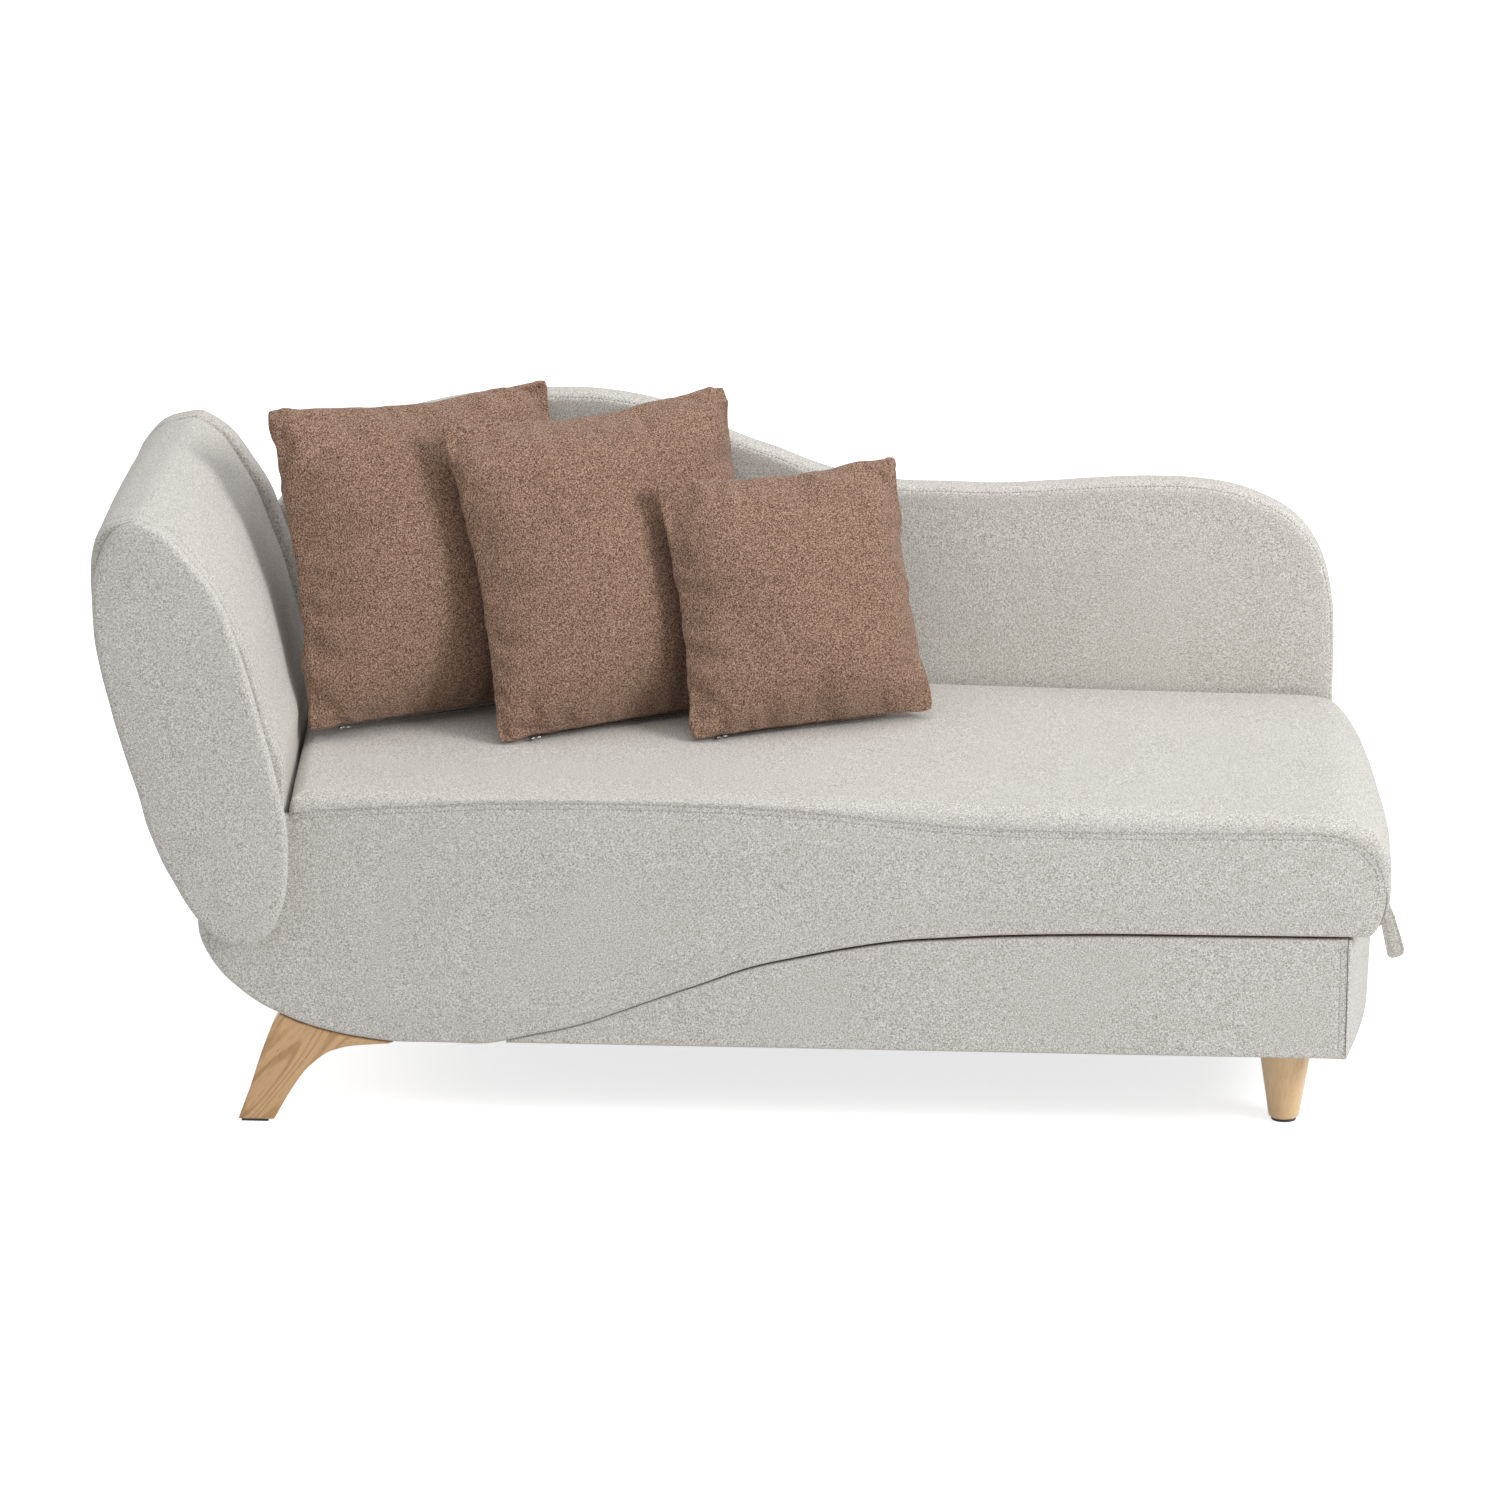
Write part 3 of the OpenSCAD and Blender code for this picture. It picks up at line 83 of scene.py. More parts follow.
# Height, then X, of the two edges of the front leaf and of the backrest behind it
LEAF_LEFT = [(242, -616), (248, -641), (259, -657), (274, -671), (296, -686), (322, -700), (347, -713),
             (372, -723), (397, -732), (423, -738), (448, -745), (473, -753), (498, -760), (523, -767),
             (549, -773), (574, -779), (599, -784), (624, -788), (649, -789.6), (674, -790), (696, -789),
             (716, -784), (729, -780), (743, -774.5), (754, -768), (763, -760), (769, -750.5), (773, -740)]
LEAF_RIGHT = [(242, -610), (251, -592), (266, -579), (284, -571), (307, -564), (331, -561), (356, -560),
              (380, -560), (405, -562), (424, -566), (456, -573), (487, -580), (520, -588.5), (557, -597.5),
              (590, -606.5), (621, -616), (658, -628), (700, -650), (735, -678), (763, -705), (769, -718),
              (772, -724), (774, -731)]
PAD_LEFT = [(264, -661), (280, -673), (310, -692), (341, -708), (397, -730), (448, -744), (549, -773),
            (600, -784), (640, -791), (691, -794.5), (715, -794), (738, -790), (749, -786.5), (758, -780),
            (765, -769), (771, -746)]
PAD_RIGHT = [(264, -566), (460, -566), (507, -581), (557, -594), (606, -608), (641, -623), (682, -643),
             (717, -668), (748, -695), (763, -716), (771, -732)]
# Height, then how far an edge of the backrest lies further left at its rear, and how proud the rear leaf is
LEFT_SKEW = [(264, -12), (440, -24), (700, -27), (728, -20), (750, -9), (771, -2)]
RIGHT_SKEW = [(264, -34), (440, -31), (520, -28), (607, -28), (665, -23), (715, -15), (761, -4), (771, -2)]
LEAF_PROUD = [(440, 2), (520, 10), (600, 16), (667, 16), (702, 13), (735, 10), (771, 5)]
SEAT_TOP = [(-557, 407), (-551.5, 421), (-537, 427), (-400, 428), (0, 428), (250, 424), (500, 420),
            (690, 418), (713, 417)]
SEAT_EDGE = [(713, 396), (737, 387), (755, 372), (768, 362), (778, 346), (784, 336)]


def shifted(points: Sequence[tuple[float, float]], swap: bool = False) -> np.ndarray:
    """Moves drawn points to the part's frame.

    Args:
        points: pairs of X and height, or of height and X.
        swap: true where the height comes first.

    Returns:
        The pairs as X and height in the part's frame, in millimetres.
    """
    rows = np.array(points, float)
    if swap:
        rows = rows[:, ::-1].copy()
    rows[:, 0] -= MIDDLE_X
    return rows


class Profile:
    """A smooth line through drawn points, read as a value over a position."""

    def __init__(self, points: Sequence[tuple[float, float]]) -> None:
        """Takes the points in rising order of position.

        Args:
            points: pairs of position and value.
        """
        rows = np.array(points, float)
        self.x, self.y = rows[:, 0], rows[:, 1]
        step = np.diff(self.x)
        rise = np.diff(self.y) / step
        slope = np.zeros(len(self.x))
        slope[0], slope[-1] = rise[0], rise[-1]
        same = rise[:-1] * rise[1:] > 0
        w1, w2 = 2 * step[1:] + step[:-1], step[1:] + 2 * step[:-1]
        with np.errstate(divide="ignore", invalid="ignore"):
            mean = (w1 + w2) / (w1 / rise[:-1] + w2 / rise[1:])
        slope[1:-1] = np.where(same, mean, 0)
        self.slope = slope

    def __call__(self, position: np.ndarray | float) -> np.ndarray:
        """Reads the line, held level outside its ends.

        Args:
            position: one position or an array of them.

        Returns:
            The values at these positions.
        """
        p = np.clip(np.asarray(position, float), self.x[0], self.x[-1])
        i = np.clip(np.searchsorted(self.x, p) - 1, 0, len(self.x) - 2)
        h = self.x[i + 1] - self.x[i]
        t = (p - self.x[i]) / h
        a = (1 + 2 * t) * (1 - t) ** 2 * self.y[i] + t * (1 - t) ** 2 * h * self.slope[i]
        b = t * t * (3 - 2 * t) * self.y[i + 1] + t * t * (t - 1) * h * self.slope[i + 1]
        return a + b


def run_along(points: np.ndarray) -> np.ndarray:
    """Gives how far along a line each of its points lies."""
    return np.concatenate([[0], np.cumsum(np.linalg.norm(np.diff(points, axis=0), axis=1))])


def turns_left(edge: np.ndarray) -> bool:
    """Says whether a closed outline turns to the left."""
    ahead = np.roll(edge, -1, axis=0)
    return bool(np.sum(edge[:, 0] * ahead[:, 1] - ahead[:, 0] * edge[:, 1]) > 0)


def even_steps(points: np.ndarray, step: float) -> np.ndarray:
    """Cuts an open line into even steps of about the given length.

    Args:
        points: the line's points, one row each.
        step: wanted length of a step.

    Returns:
        The line's points at even steps, both ends among them.
    """
    run = run_along(points)
    count = max(1, round(run[-1] / step))
    marks = np.linspace(0, run[-1], count + 1)
    return np.stack([np.interp(marks, run, points[:, k]) for k in range(points.shape[1])], axis=1)


def part_way(t: np.ndarray, start: float, end: float, a: np.ndarray, b: np.ndarray) -> np.ndarray:
    """Goes evenly from one place, at the start, to another, at the end, and gives the places at t."""
    return (end - t) / (end - start) * a + (t - start) / (end - start) * b


def smooth_run(points: Sequence[Sequence[float]] | np.ndarray, step: float = 4.0) -> np.ndarray:
    """Draws a smooth open line through points, with no overshoot at uneven spacing.

    Args:
        points: the points that it passes through.
        step: length of its steps.

    Returns:
        The smooth line at even steps.
    """
    p = np.array(points, float)
    if len(p) < 3:
        return even_steps(p, step)
    p = np.vstack([2 * p[0] - p[1], p, 2 * p[-1] - p[-2]])
    out = []
    for near in zip(p, p[1:], p[2:], p[3:]):
        gaps = [np.linalg.norm(b - a) for a, b in zip(near, near[1:])]
        knots = list(accumulate((max(gap, 1e-6) ** 0.5 for gap in gaps), initial=0.0))
        t = np.linspace(knots[1], knots[2], max(3, int(gaps[1] / step * 3)), endpoint=False)[:, None]
        level = [part_way(t, knots[k], knots[k + 1], near[k], near[k + 1]) for k in range(3)]
        level = [part_way(t, knots[k], knots[k + 2], level[k], level[k + 1]) for k in range(2)]
        out.append(part_way(t, knots[1], knots[2], level[0], level[1]))
    out.append(p[-2:-1])
    return even_steps(np.vstack(out), step)


def outline(runs: Sequence[np.ndarray], step: float = 4.0) -> np.ndarray:
    """Joins smooth runs into one closed outline with a corner at each join.

    Args:
        runs: the runs in order, each from where the one before ends.
        step: length of the steps along each run.

    Returns:
        The outline's points, turning to the left, with none repeated.
    """
    rows: list[np.ndarray] = []
    for run in runs:
        for p in smooth_run(run, step):
            if not rows or np.linalg.norm(p - rows[-1]) > 0.3:
                rows.append(p)
    if np.linalg.norm(rows[0] - rows[-1]) < 0.3:
        rows.pop()
    edge = np.array(rows)
    return edge if turns_left(edge) else edge[::-1].copy()


def upright(flat: np.ndarray, depth: np.ndarray | float) -> np.ndarray:
    """Stands points that are drawn in X and Z at a depth in Y."""
    return np.column_stack([flat[:, 0], np.broadcast_to(depth, len(flat)), flat[:, 1]])


def along_line(line: np.ndarray) -> np.ndarray:
    """Gives the unit directions of an open line, one row a point."""
    along = np.gradient(line, axis=0)
    return along / np.linalg.norm(along, axis=1, keepdims=True)


def inward_normals(edge: np.ndarray) -> np.ndarray:
    """Gives the unit normals of a closed outline that turns to the left, pointing inward."""
    along = np.roll(edge, -1, axis=0) - np.roll(edge, 1, axis=0)
    along /= np.maximum(np.linalg.norm(along, axis=1, keepdims=True), 1e-9)
    return np.stack([-along[:, 1], along[:, 0]], axis=1)


def edge_distance(points: np.ndarray, edge: np.ndarray) -> np.ndarray:
    """Measures how far points lie from a closed outline.

    Args:
        points: the points, one row each.
        edge: the outline's points.

    Returns:
        The distance of each point.
    """
    a, b = edge, np.roll(edge, -1, axis=0)
    ab = b - a
    length = np.maximum((ab * ab).sum(axis=1), 1e-12)
    out = np.empty(len(points))
    for k in range(0, len(points), 800):
        p = points[k:k + 800, None, :] - a[None]
        t = np.clip((p * ab[None]).sum(axis=2) / length[None], 0, 1)
        gap = p - t[:, :, None] * ab[None]
        out[k:k + 800] = np.sqrt((gap * gap).sum(axis=2).min(axis=1))
    return out


def lies_inside(points: np.ndarray, edge: np.ndarray) -> np.ndarray:
    """Says which points lie inside a closed outline.

    Args:
        points: the points, one row each.
        edge: the outline's points.

    Returns:
        True for each point that lies inside.
    """
    x, y = points[:, 0], points[:, 1]
    inside = np.zeros(len(points), bool)
    for (x0, y0), (x1, y1) in zip(edge, np.roll(edge, -1, axis=0)):
        if y0 == y1:
            continue
        cross = (y0 > y) != (y1 > y)
        inside ^= cross & (x < (x1 - x0) * (y - y0) / (y1 - y0) + x0)
    return inside


def inner_points(edge: np.ndarray, distances: Sequence[float], step: float) -> np.ndarray:
    """Spreads points over the inside of an outline: rings near its edge, then a net of triangles.

    Args:
        edge: the outline's points, turning to the left.
        distances: how far in each ring lies.
        step: side of the net's triangles.

    Returns:
        The points, one row each.
    """
    normals = inward_normals(edge)
    kept: list[np.ndarray] = []
    for d in distances:
        ring = edge + normals * d
        good = (edge_distance(ring, edge) > d * 0.985 - 0.01) & lies_inside(ring, edge)
        apart = 2.6 if d < 10 else 5.0
        last: np.ndarray | None = None
        first: np.ndarray | None = None
        for p in ring[good]:
            if last is not None and np.linalg.norm(p - last) < apart:
                continue
            if first is not None and last is not first and np.linalg.norm(p - first) < apart * 0.8:
                continue
            kept.append(p)
            last = p
            first = p if first is None else first
    low, high = edge.min(axis=0), edge.max(axis=0)
    net = []
    for row, y in enumerate(np.arange(low[1], high[1], step * 0.866)):
        xs = np.arange(low[0] + (row % 2) * step / 2, high[0], step)
        net.append(np.stack([xs, np.full(len(xs), y)], axis=1))
    grid = np.vstack(net)
    grid = grid[lies_inside(grid, edge)]
    deepest = max(distances) if len(distances) else 0.0
    grid = grid[edge_distance(grid, edge) > deepest + step * 0.55]
    return np.vstack(kept + [grid]) if kept else grid


def round_over(d: np.ndarray, r: np.ndarray | float) -> np.ndarray:
    """Gives how far a rounded edge falls back at a distance from it.

    Args:
        d: distances from the edge.
        r: radius of the rounding.

    Returns:
        The fall: the radius at the edge, and nothing from the radius inward.
    """
    r = np.maximum(np.asarray(r, float), 1e-6)
    t = np.clip(1 - d / r, 0, 1)
    return r * (1 - np.sqrt(np.maximum(0, 1 - t * t)))


def dip(d: np.ndarray, where: float, depth: float, width: float) -> np.ndarray:
    """Gives the depth of a sewn line at a distance from the edge, with a low swell on both sides."""
    t = (d - where) / width
    return depth * np.exp(-t * t) - 0.35 * depth * np.exp(-((np.abs(t) - 2.4) / 1.3) ** 2)


def relief(points: np.ndarray, size: float, height: float, seed: float) -> np.ndarray:
    """Gives the slow, slight unevenness of stuffed cloth.

    Args:
        points: places on the cloth, in millimetres.
        size: length of the swells.
        height: their greatest height.
        seed: which piece it is, so that no two are alike.

    Returns:
        The height at each point.
    """
    return np.array([noise.noise(Vector((p[0] / size, p[1] / size, seed))) for p in points]) * height


def linked(name: str, data: bpy.types.ID) -> bpy.types.Object:
    """Makes an object of its data and links it to the scene."""
    made = bpy.data.objects.new(name, data)
    bpy.context.scene.collection.objects.link(made)
    return made


class Skin:
    """The points and faces of one piece, gathered in millimetres."""

    def __init__(self) -> None:
        """Starts with no points."""
        self.points: list[Sequence[float]] = []
        self.faces: list[Sequence[int]] = []

    def ring(self, points: np.ndarray) -> list[int]:
        """Adds points and gives their numbers."""
        start = len(self.points)
        self.points.extend(points.tolist())
        return list(range(start, start + len(points)))

    def bridge(self, a: Sequence[int], b: Sequence[int], closed: bool = True) -> None:
        """Joins two rings of equal length with faces.

        Args:
            a: numbers of the first ring.
            b: numbers of the second ring.
            closed: true where the rings are closed.
        """
        n = len(a)
        for k in range(n if closed else n - 1):
            m = (k + 1) % n
            self.faces.append((a[k], a[m], b[m], b[k]))

    def rings(self, rows: Sequence[np.ndarray]) -> list[list[int]]:
        """Adds closed rings, joins each to the next, and gives their numbers."""
        ids = [self.ring(row) for row in rows]
        for a, b in zip(ids, ids[1:]):
            self.bridge(a, b)
        return ids

    def cap(self, ring: Sequence[int]) -> None:
        """Closes a ring with a fan round its centre."""
        centre = np.mean([self.points[k] for k in ring], axis=0)
        middle = self.ring(centre[None])[0]
        for k, a in enumerate(ring):
            self.faces.append((a, ring[(k + 1) % len(ring)], middle))

    def fill(self, ring: Sequence[int], plane: tuple[int, int], depth: Depth,
             distances: Sequence[float] = (), step: float = 9.0) -> None:
        """Closes a ring with a net of small triangles that follows a depth.

        Args:
            ring: numbers of the ring's points.
            plane: the two axes that the ring is drawn in.
            depth: gives the third axis from the places and their distances to the ring.
            distances: how far in the finer rings near the edge lie.
            step: side of the triangles further in.
        """
        order = list(ring)
        edge = np.array([[self.points[k][plane[0]], self.points[k][plane[1]]] for k in order])
        if not turns_left(edge):
            order, edge = order[::-1], edge[::-1].copy()
        inner = inner_points(edge, distances, step)
        heights = depth(inner, edge_distance(inner, edge))
        flat = [Vector(p) for p in edge] + [Vector(p) for p in inner]
        made = delaunay_2d_cdt(flat, [], [list(range(len(edge)))], 1, 1e-4)
        third = 3 - plane[0] - plane[1]
        numbers = []
        for place, sources in zip(made[0], made[3]):
            source = min(sources) if sources else -1
            if 0 <= source < len(edge):
                numbers.append(order[source])
                continue
            spot = np.array([[place[0], place[1]]])
            height = heights[source - len(edge)] if source >= 0 else depth(spot, edge_distance(spot, edge))[0]
            point = [0.0, 0.0, 0.0]
            point[plane[0]], point[plane[1]] = place[0], place[1]
            point[third] = float(height)
            self.points.append(point)
            numbers.append(len(self.points) - 1)
        self.faces.extend([numbers[k] for k in face] for face in made[2])

    def fill_level(self, ring: Sequence[int], plane: tuple[int, int], level: float, step: float) -> None:
        """Closes a ring with a flat net of triangles at a fixed value of the third axis."""
        self.fill(ring, plane, lambda p, d: np.full(len(p), level), (), step)

    def rod(self, rows: Sequence[np.ndarray]) -> None:
        """Adds closed rings joined to each other, and closes both ends."""
        ids = self.rings(rows)
        self.cap(ids[0])
        self.cap(ids[-1])

    def crease(self, start: Sequence[float], end: Sequence[float], push: Sequence[float],
               width: float) -> None:
        """Presses a soft fold into the skin along a line that fades towards its end.

        Args:
            start: where the fold is deepest.
            end: where it has faded out.
            push: direction and depth of the fold.
            width: half its width.
        """
        points = np.array(self.points, float)
        a, b, push_by = np.array(start, float), np.array(end, float), np.array(push, float)
        along = b - a
        t = np.clip(((points - a) @ along) / (along @ along), 0, 1)
        gap = np.linalg.norm(points - (a + t[:, None] * along), axis=1) / width
        fade = (1 - t) ** 1.3
        shape = np.exp(-gap * gap) - 0.55 * np.exp(-((gap - 1.9) / 0.9) ** 2)
        self.points = (points + (shape * fade)[:, None] * push_by).tolist()

    def piece(self, name: str, smooth: bool = True) -> bpy.types.Object:
        """Makes the piece in metres, with its faces turned outward.

        Args:
            name: name of the piece.
            smooth: true for soft shading.

        Returns:
            The new object, linked to the scene.
        """
        mesh = bpy.data.meshes.new(name)
        mesh.from_pydata([tuple(c * MM for c in p) for p in self.points], [], [tuple(f) for f in self.faces])
        bm = bmesh.new()
        bm.from_mesh(mesh)
        bmesh.ops.recalc_face_normals(bm, faces=bm.faces)
        bm.to_mesh(mesh)
        bm.free()
        if smooth:
            mesh.shade_smooth()
        return linked(name, mesh)


def rgba(colour: Colour) -> tuple[float, float, float, float]:
    """Adds full opacity to a colour."""
    return (*colour, 1.0)


class Nodes:
    """Adds and wires the nodes of one node tree."""

    def __init__(self, tree: bpy.types.NodeTree) -> None:
        """Takes the tree to work in."""
        self.tree = tree

    def add(self, kind: str, values: dict[str | int, object] | None = None,
            **settings: object) -> bpy.types.Node:
        """Adds a node.

        Args:
            kind: the node's type.
            values: values or source sockets for its inputs, by name or number.
            settings: properties of the node.

        Returns:
            The node.
        """
        node = self.tree.nodes.new(kind)
        for key, value in settings.items():
            setattr(node, key, value)
        for key, value in (values or {}).items():
            if isinstance(value, Socket):
                self.tree.links.new(value, node.inputs[key])
            else:
                node.inputs[key].default_value = value
        return node

    def math(self, operation: str, a: object, b: object = 0.0, clamp: bool = False) -> Socket:
        """Adds a calculation and gives its result."""
        return self.add("ShaderNodeMath", {0: a, 1: b}, operation=operation, use_clamp=clamp).outputs[0]

    def times(self, a: object, b: object) -> Socket:
        """Multiplies two values."""
        return self.math("MULTIPLY", a, b)

    def plus(self, a: object, b: object) -> Socket:
        """Adds two values."""
        return self.math("ADD", a, b)

    def stretch(self, vector: Socket, by: Sequence[float]) -> Socket:
        """Multiplies a vector axis by axis and gives the result."""
        node = self.add("ShaderNodeVectorMath", {0: vector, 1: tuple(by)}, operation="MULTIPLY")
        return node.outputs[0]

    def turn(self, vector: Socket, by: Sequence[float]) -> Socket:
        """Turns a vector by degrees round each axis and gives the result."""
        turns = tuple(map(math.radians, by))
        return self.add("ShaderNodeMapping", {"Vector": vector, "Rotation": turns}).outputs[0]

    def cloud(self, vector: Socket, scale: object, detail: float = 2.0, rough: float = 0.55) -> Socket:
        """Adds a noise and gives its value."""
        values = {"Vector": vector, "Scale": scale, "Detail": detail, "Roughness": rough}
        return self.add("ShaderNodeTexNoise", values).outputs["Fac"]

    def between(self, value: object, low: float, high: float, a: float = 0.0, b: float = 1.0) -> Socket:
        """Maps a value from one range to another with soft ends and gives it."""
        values = {0: value, 1: low, 2: high, 3: a, 4: b}
        return self.add("ShaderNodeMapRange", values, interpolation_type="SMOOTHSTEP").outputs[0]

    def mix(self, factor: object, a: object, b: object) -> Socket:
        """Mixes two colours and gives the result."""
        return self.add("ShaderNodeMix", {0: factor, 6: a, 7: b}, data_type="RGBA").outputs[2]

    def close(self, colour: Socket, height: Socket, rough: Socket) -> bpy.types.NodeTree:
        """Leads the results of a group to its outputs and gives the group."""
        self.add("NodeGroupOutput", {"Colour": colour, "Height": height, "Rough": rough})
        return self.tree


def new_group(name: str, inputs: dict[str, Colour | float]) -> tuple[Nodes, bpy.types.NodeOutputs]:
    """Makes a shader group that turns coordinates and plain values into a colour, a height and a roughness.

    Args:
        name: name of the group.
        inputs: starting value of each input besides the coordinates, a colour or a number.

    Returns:
        The group's node helper and what the group is given.
    """
    nodes = Nodes(bpy.data.node_groups.new(name, "ShaderNodeTree"))
    sockets = nodes.tree.interface
    sockets.new_socket("Place", in_out="INPUT", socket_type="NodeSocketVector")
    for key, value in inputs.items():
        is_colour = isinstance(value, tuple)
        kind = "NodeSocketColor" if is_colour else "NodeSocketFloat"
        socket = sockets.new_socket(key, in_out="INPUT", socket_type=kind)
        socket.default_value = rgba(value) if is_colour else value
    for key, kind in (("Colour", "NodeSocketColor"), ("Height", "NodeSocketFloat"),
                      ("Rough", "NodeSocketFloat")):
        sockets.new_socket(key, in_out="OUTPUT", socket_type=kind)
    return nodes, nodes.add("NodeGroupInput").outputs


class Effects:
    """The shader groups that several finishes share, each built once."""

    def __init__(self) -> None:
        """Builds the groups."""
        self.weave = self.woven_cloth()
        self.grain = self.wood_grain()
        self.wear = self.edge_wear()

    def woven_cloth(self) -> bpy.types.NodeTree:
        """Builds the cloth effect: a fine grain of short threads in mixed shades, slubs and slow mottling.

        Returns:
            The group, with the outputs Colour, Height and Rough.
        """
        n, given = new_group("WovenCloth", {"Middle": (0.5, 0.5, 0.5), "Dark": (0.2, 0.2, 0.2),
                                            "Light": (0.8, 0.8, 0.8), "Threads": 900.0, "Fleck": 1.0,
                                            "Slub": 1.0})
        place, threads = given["Place"], given["Threads"]
        wobble = n.add("ShaderNodeTexNoise", {"Vector": place, "Scale": 260.0, "Detail": 1.0})
        shift = n.stretch(wobble.outputs["Color"], (0.0009,) * 3)
        bent = n.add("ShaderNodeVectorMath", {0: place, 1: shift}, operation="ADD").outputs[0]
        warp, weft = n.stretch(bent, (0.42, 1, 1)), n.stretch(bent, (1, 0.42, 0.42))
        fine = n.plus(n.cloud(warp, threads, 1.0), n.cloud(weft, n.times(threads, 1.13), 1.0))
        slub = n.cloud(n.stretch(place, (0.4, 1, 1)), n.times(threads, 0.5), 2.0)
        cloudy = n.cloud(place, 7.0, 3.0)
        level = n.plus(n.times(n.plus(fine, -1.0), given["Fleck"]),
                       n.times(n.plus(slub, -0.5), given["Slub"]))
        level = n.plus(level, n.times(n.plus(cloudy, -0.5), 0.10))
        colour = n.mix(n.between(level, -0.42, -0.03, 1.0, 0.0), given["Middle"], given["Dark"])
        colour = n.mix(n.between(level, 0.03, 0.42), colour, given["Light"])
        split = n.add("ShaderNodeSeparateXYZ", {0: bent})
        pitch = n.times(threads, 5.2)
        waves = [n.math("COSINE", n.times(split.outputs[k], pitch)) for k in range(3)]
        knots = n.plus(n.times(waves[0], n.plus(waves[1], waves[2])), n.times(waves[1], waves[2]))
        height = n.plus(n.times(knots, 0.18), n.times(fine, 0.8))
        return n.close(colour, height, n.between(level, -0.4, 0.4, 0.97, 0.84))

    def wood_grain(self) -> bpy.types.NodeTree:
        """Builds the timber effect: growth lines, pores along the grain, flecks and slow shade changes.

        Returns:
            The group, with the outputs Colour, Height and Rough.
        """
        n, given = new_group("WoodGrain", {"Light": (0.7, 0.5, 0.3), "Dark": (0.4, 0.25, 0.12), "Lines": 9.0,
                                           "Contrast": 0.6, "Pores": 0.5})
        place = given["Place"]
        figure = n.cloud(n.stretch(place, (2.2, 16, 16)), 1.0, 1.5, 0.4)
        band = n.math("SINE", n.times(n.times(figure, given["Lines"]), 6.283))
        line = n.between(band, 0.1, 1.0)
        pores = n.between(n.cloud(n.stretch(place, (90, 1500, 1500)), 1.0, 2.0), 0.56, 0.70)
        hair = n.cloud(n.stretch(place, (14, 420, 420)), 1.0, 2.0)
        shade = n.cloud(n.stretch(place, (3, 22, 22)), 1.0, 2.0)
        mixed = n.times(line, given["Contrast"])
        mixed = n.plus(mixed, n.times(n.plus(hair, -0.42), 0.85))
        mixed = n.plus(mixed, n.times(n.plus(shade, -0.5), 0.7))
        mixed = n.math("ADD", mixed, n.times(pores, given["Pores"]), clamp=True)
        return n.close(n.mix(mixed, given["Light"], given["Dark"]), n.times(mixed, -1.0),
                       n.between(mixed, 0.0, 1.0, 0.42, 0.62))

    def edge_wear(self) -> bpy.types.NodeTree:
        """Builds the wear effect of metal and plastic: fine scratches, dust and worn patches.

        Returns:
            The group, with the outputs Colour, Height and Rough.
        """
        n, given = new_group("SurfaceWear", {"Clean": (0.5, 0.5, 0.5), "Worn": (0.7, 0.7, 0.7), "Size": 60.0,
                                             "Smooth": 0.3, "Spread": 0.2})
        place, size = given["Place"], given["Size"]
        patch = n.between(n.cloud(place, size, 4.0, 0.65), 0.45, 0.75)
        streak = n.cloud(n.stretch(place, (1.0, 22.0, 1.0)), n.times(size, 3.0), 3.0)
        speck = n.cloud(place, n.times(size, 24.0), 1.0)
        amount = n.times(n.plus(patch, n.times(streak, 0.4)), 0.5)
        return n.close(n.mix(amount, given["Clean"], given["Worn"]), n.plus(n.times(streak, 0.5), speck),
                       n.plus(given["Smooth"], n.times(streak, given["Spread"])))


class Shading(Nodes):
    """The nodes of one new material, with its shader."""

    def __init__(self, name: str, values: dict[str, object]) -> None:
        """Makes the material.

        Args:
            name: name of the material.
            values: plain values of the shader's inputs.
        """
        self.material = bpy.data.materials.new(name)
        self.material.use_nodes = True
        super().__init__(self.material.node_tree)
        self.shader = self.tree.nodes["Principled BSDF"]
        for key, value in values.items():
            self.shader.inputs[key].default_value = value

    def lead(self, **sources: Socket) -> None:
        """Leads sockets into the shader's inputs, whose names have a low line for each space."""
        for key, source in sources.items():
            self.tree.links.new(source, self.shader.inputs[key.replace("_", " ")])

    def roughen(self, height: Socket, strength: float, distance: float) -> None:
        """Gives the surface a fine relief."""
        bump = self.add("ShaderNodeBump", {"Strength": strength, "Distance": distance, "Height": height})
        self.lead(Normal=bump.outputs[0])


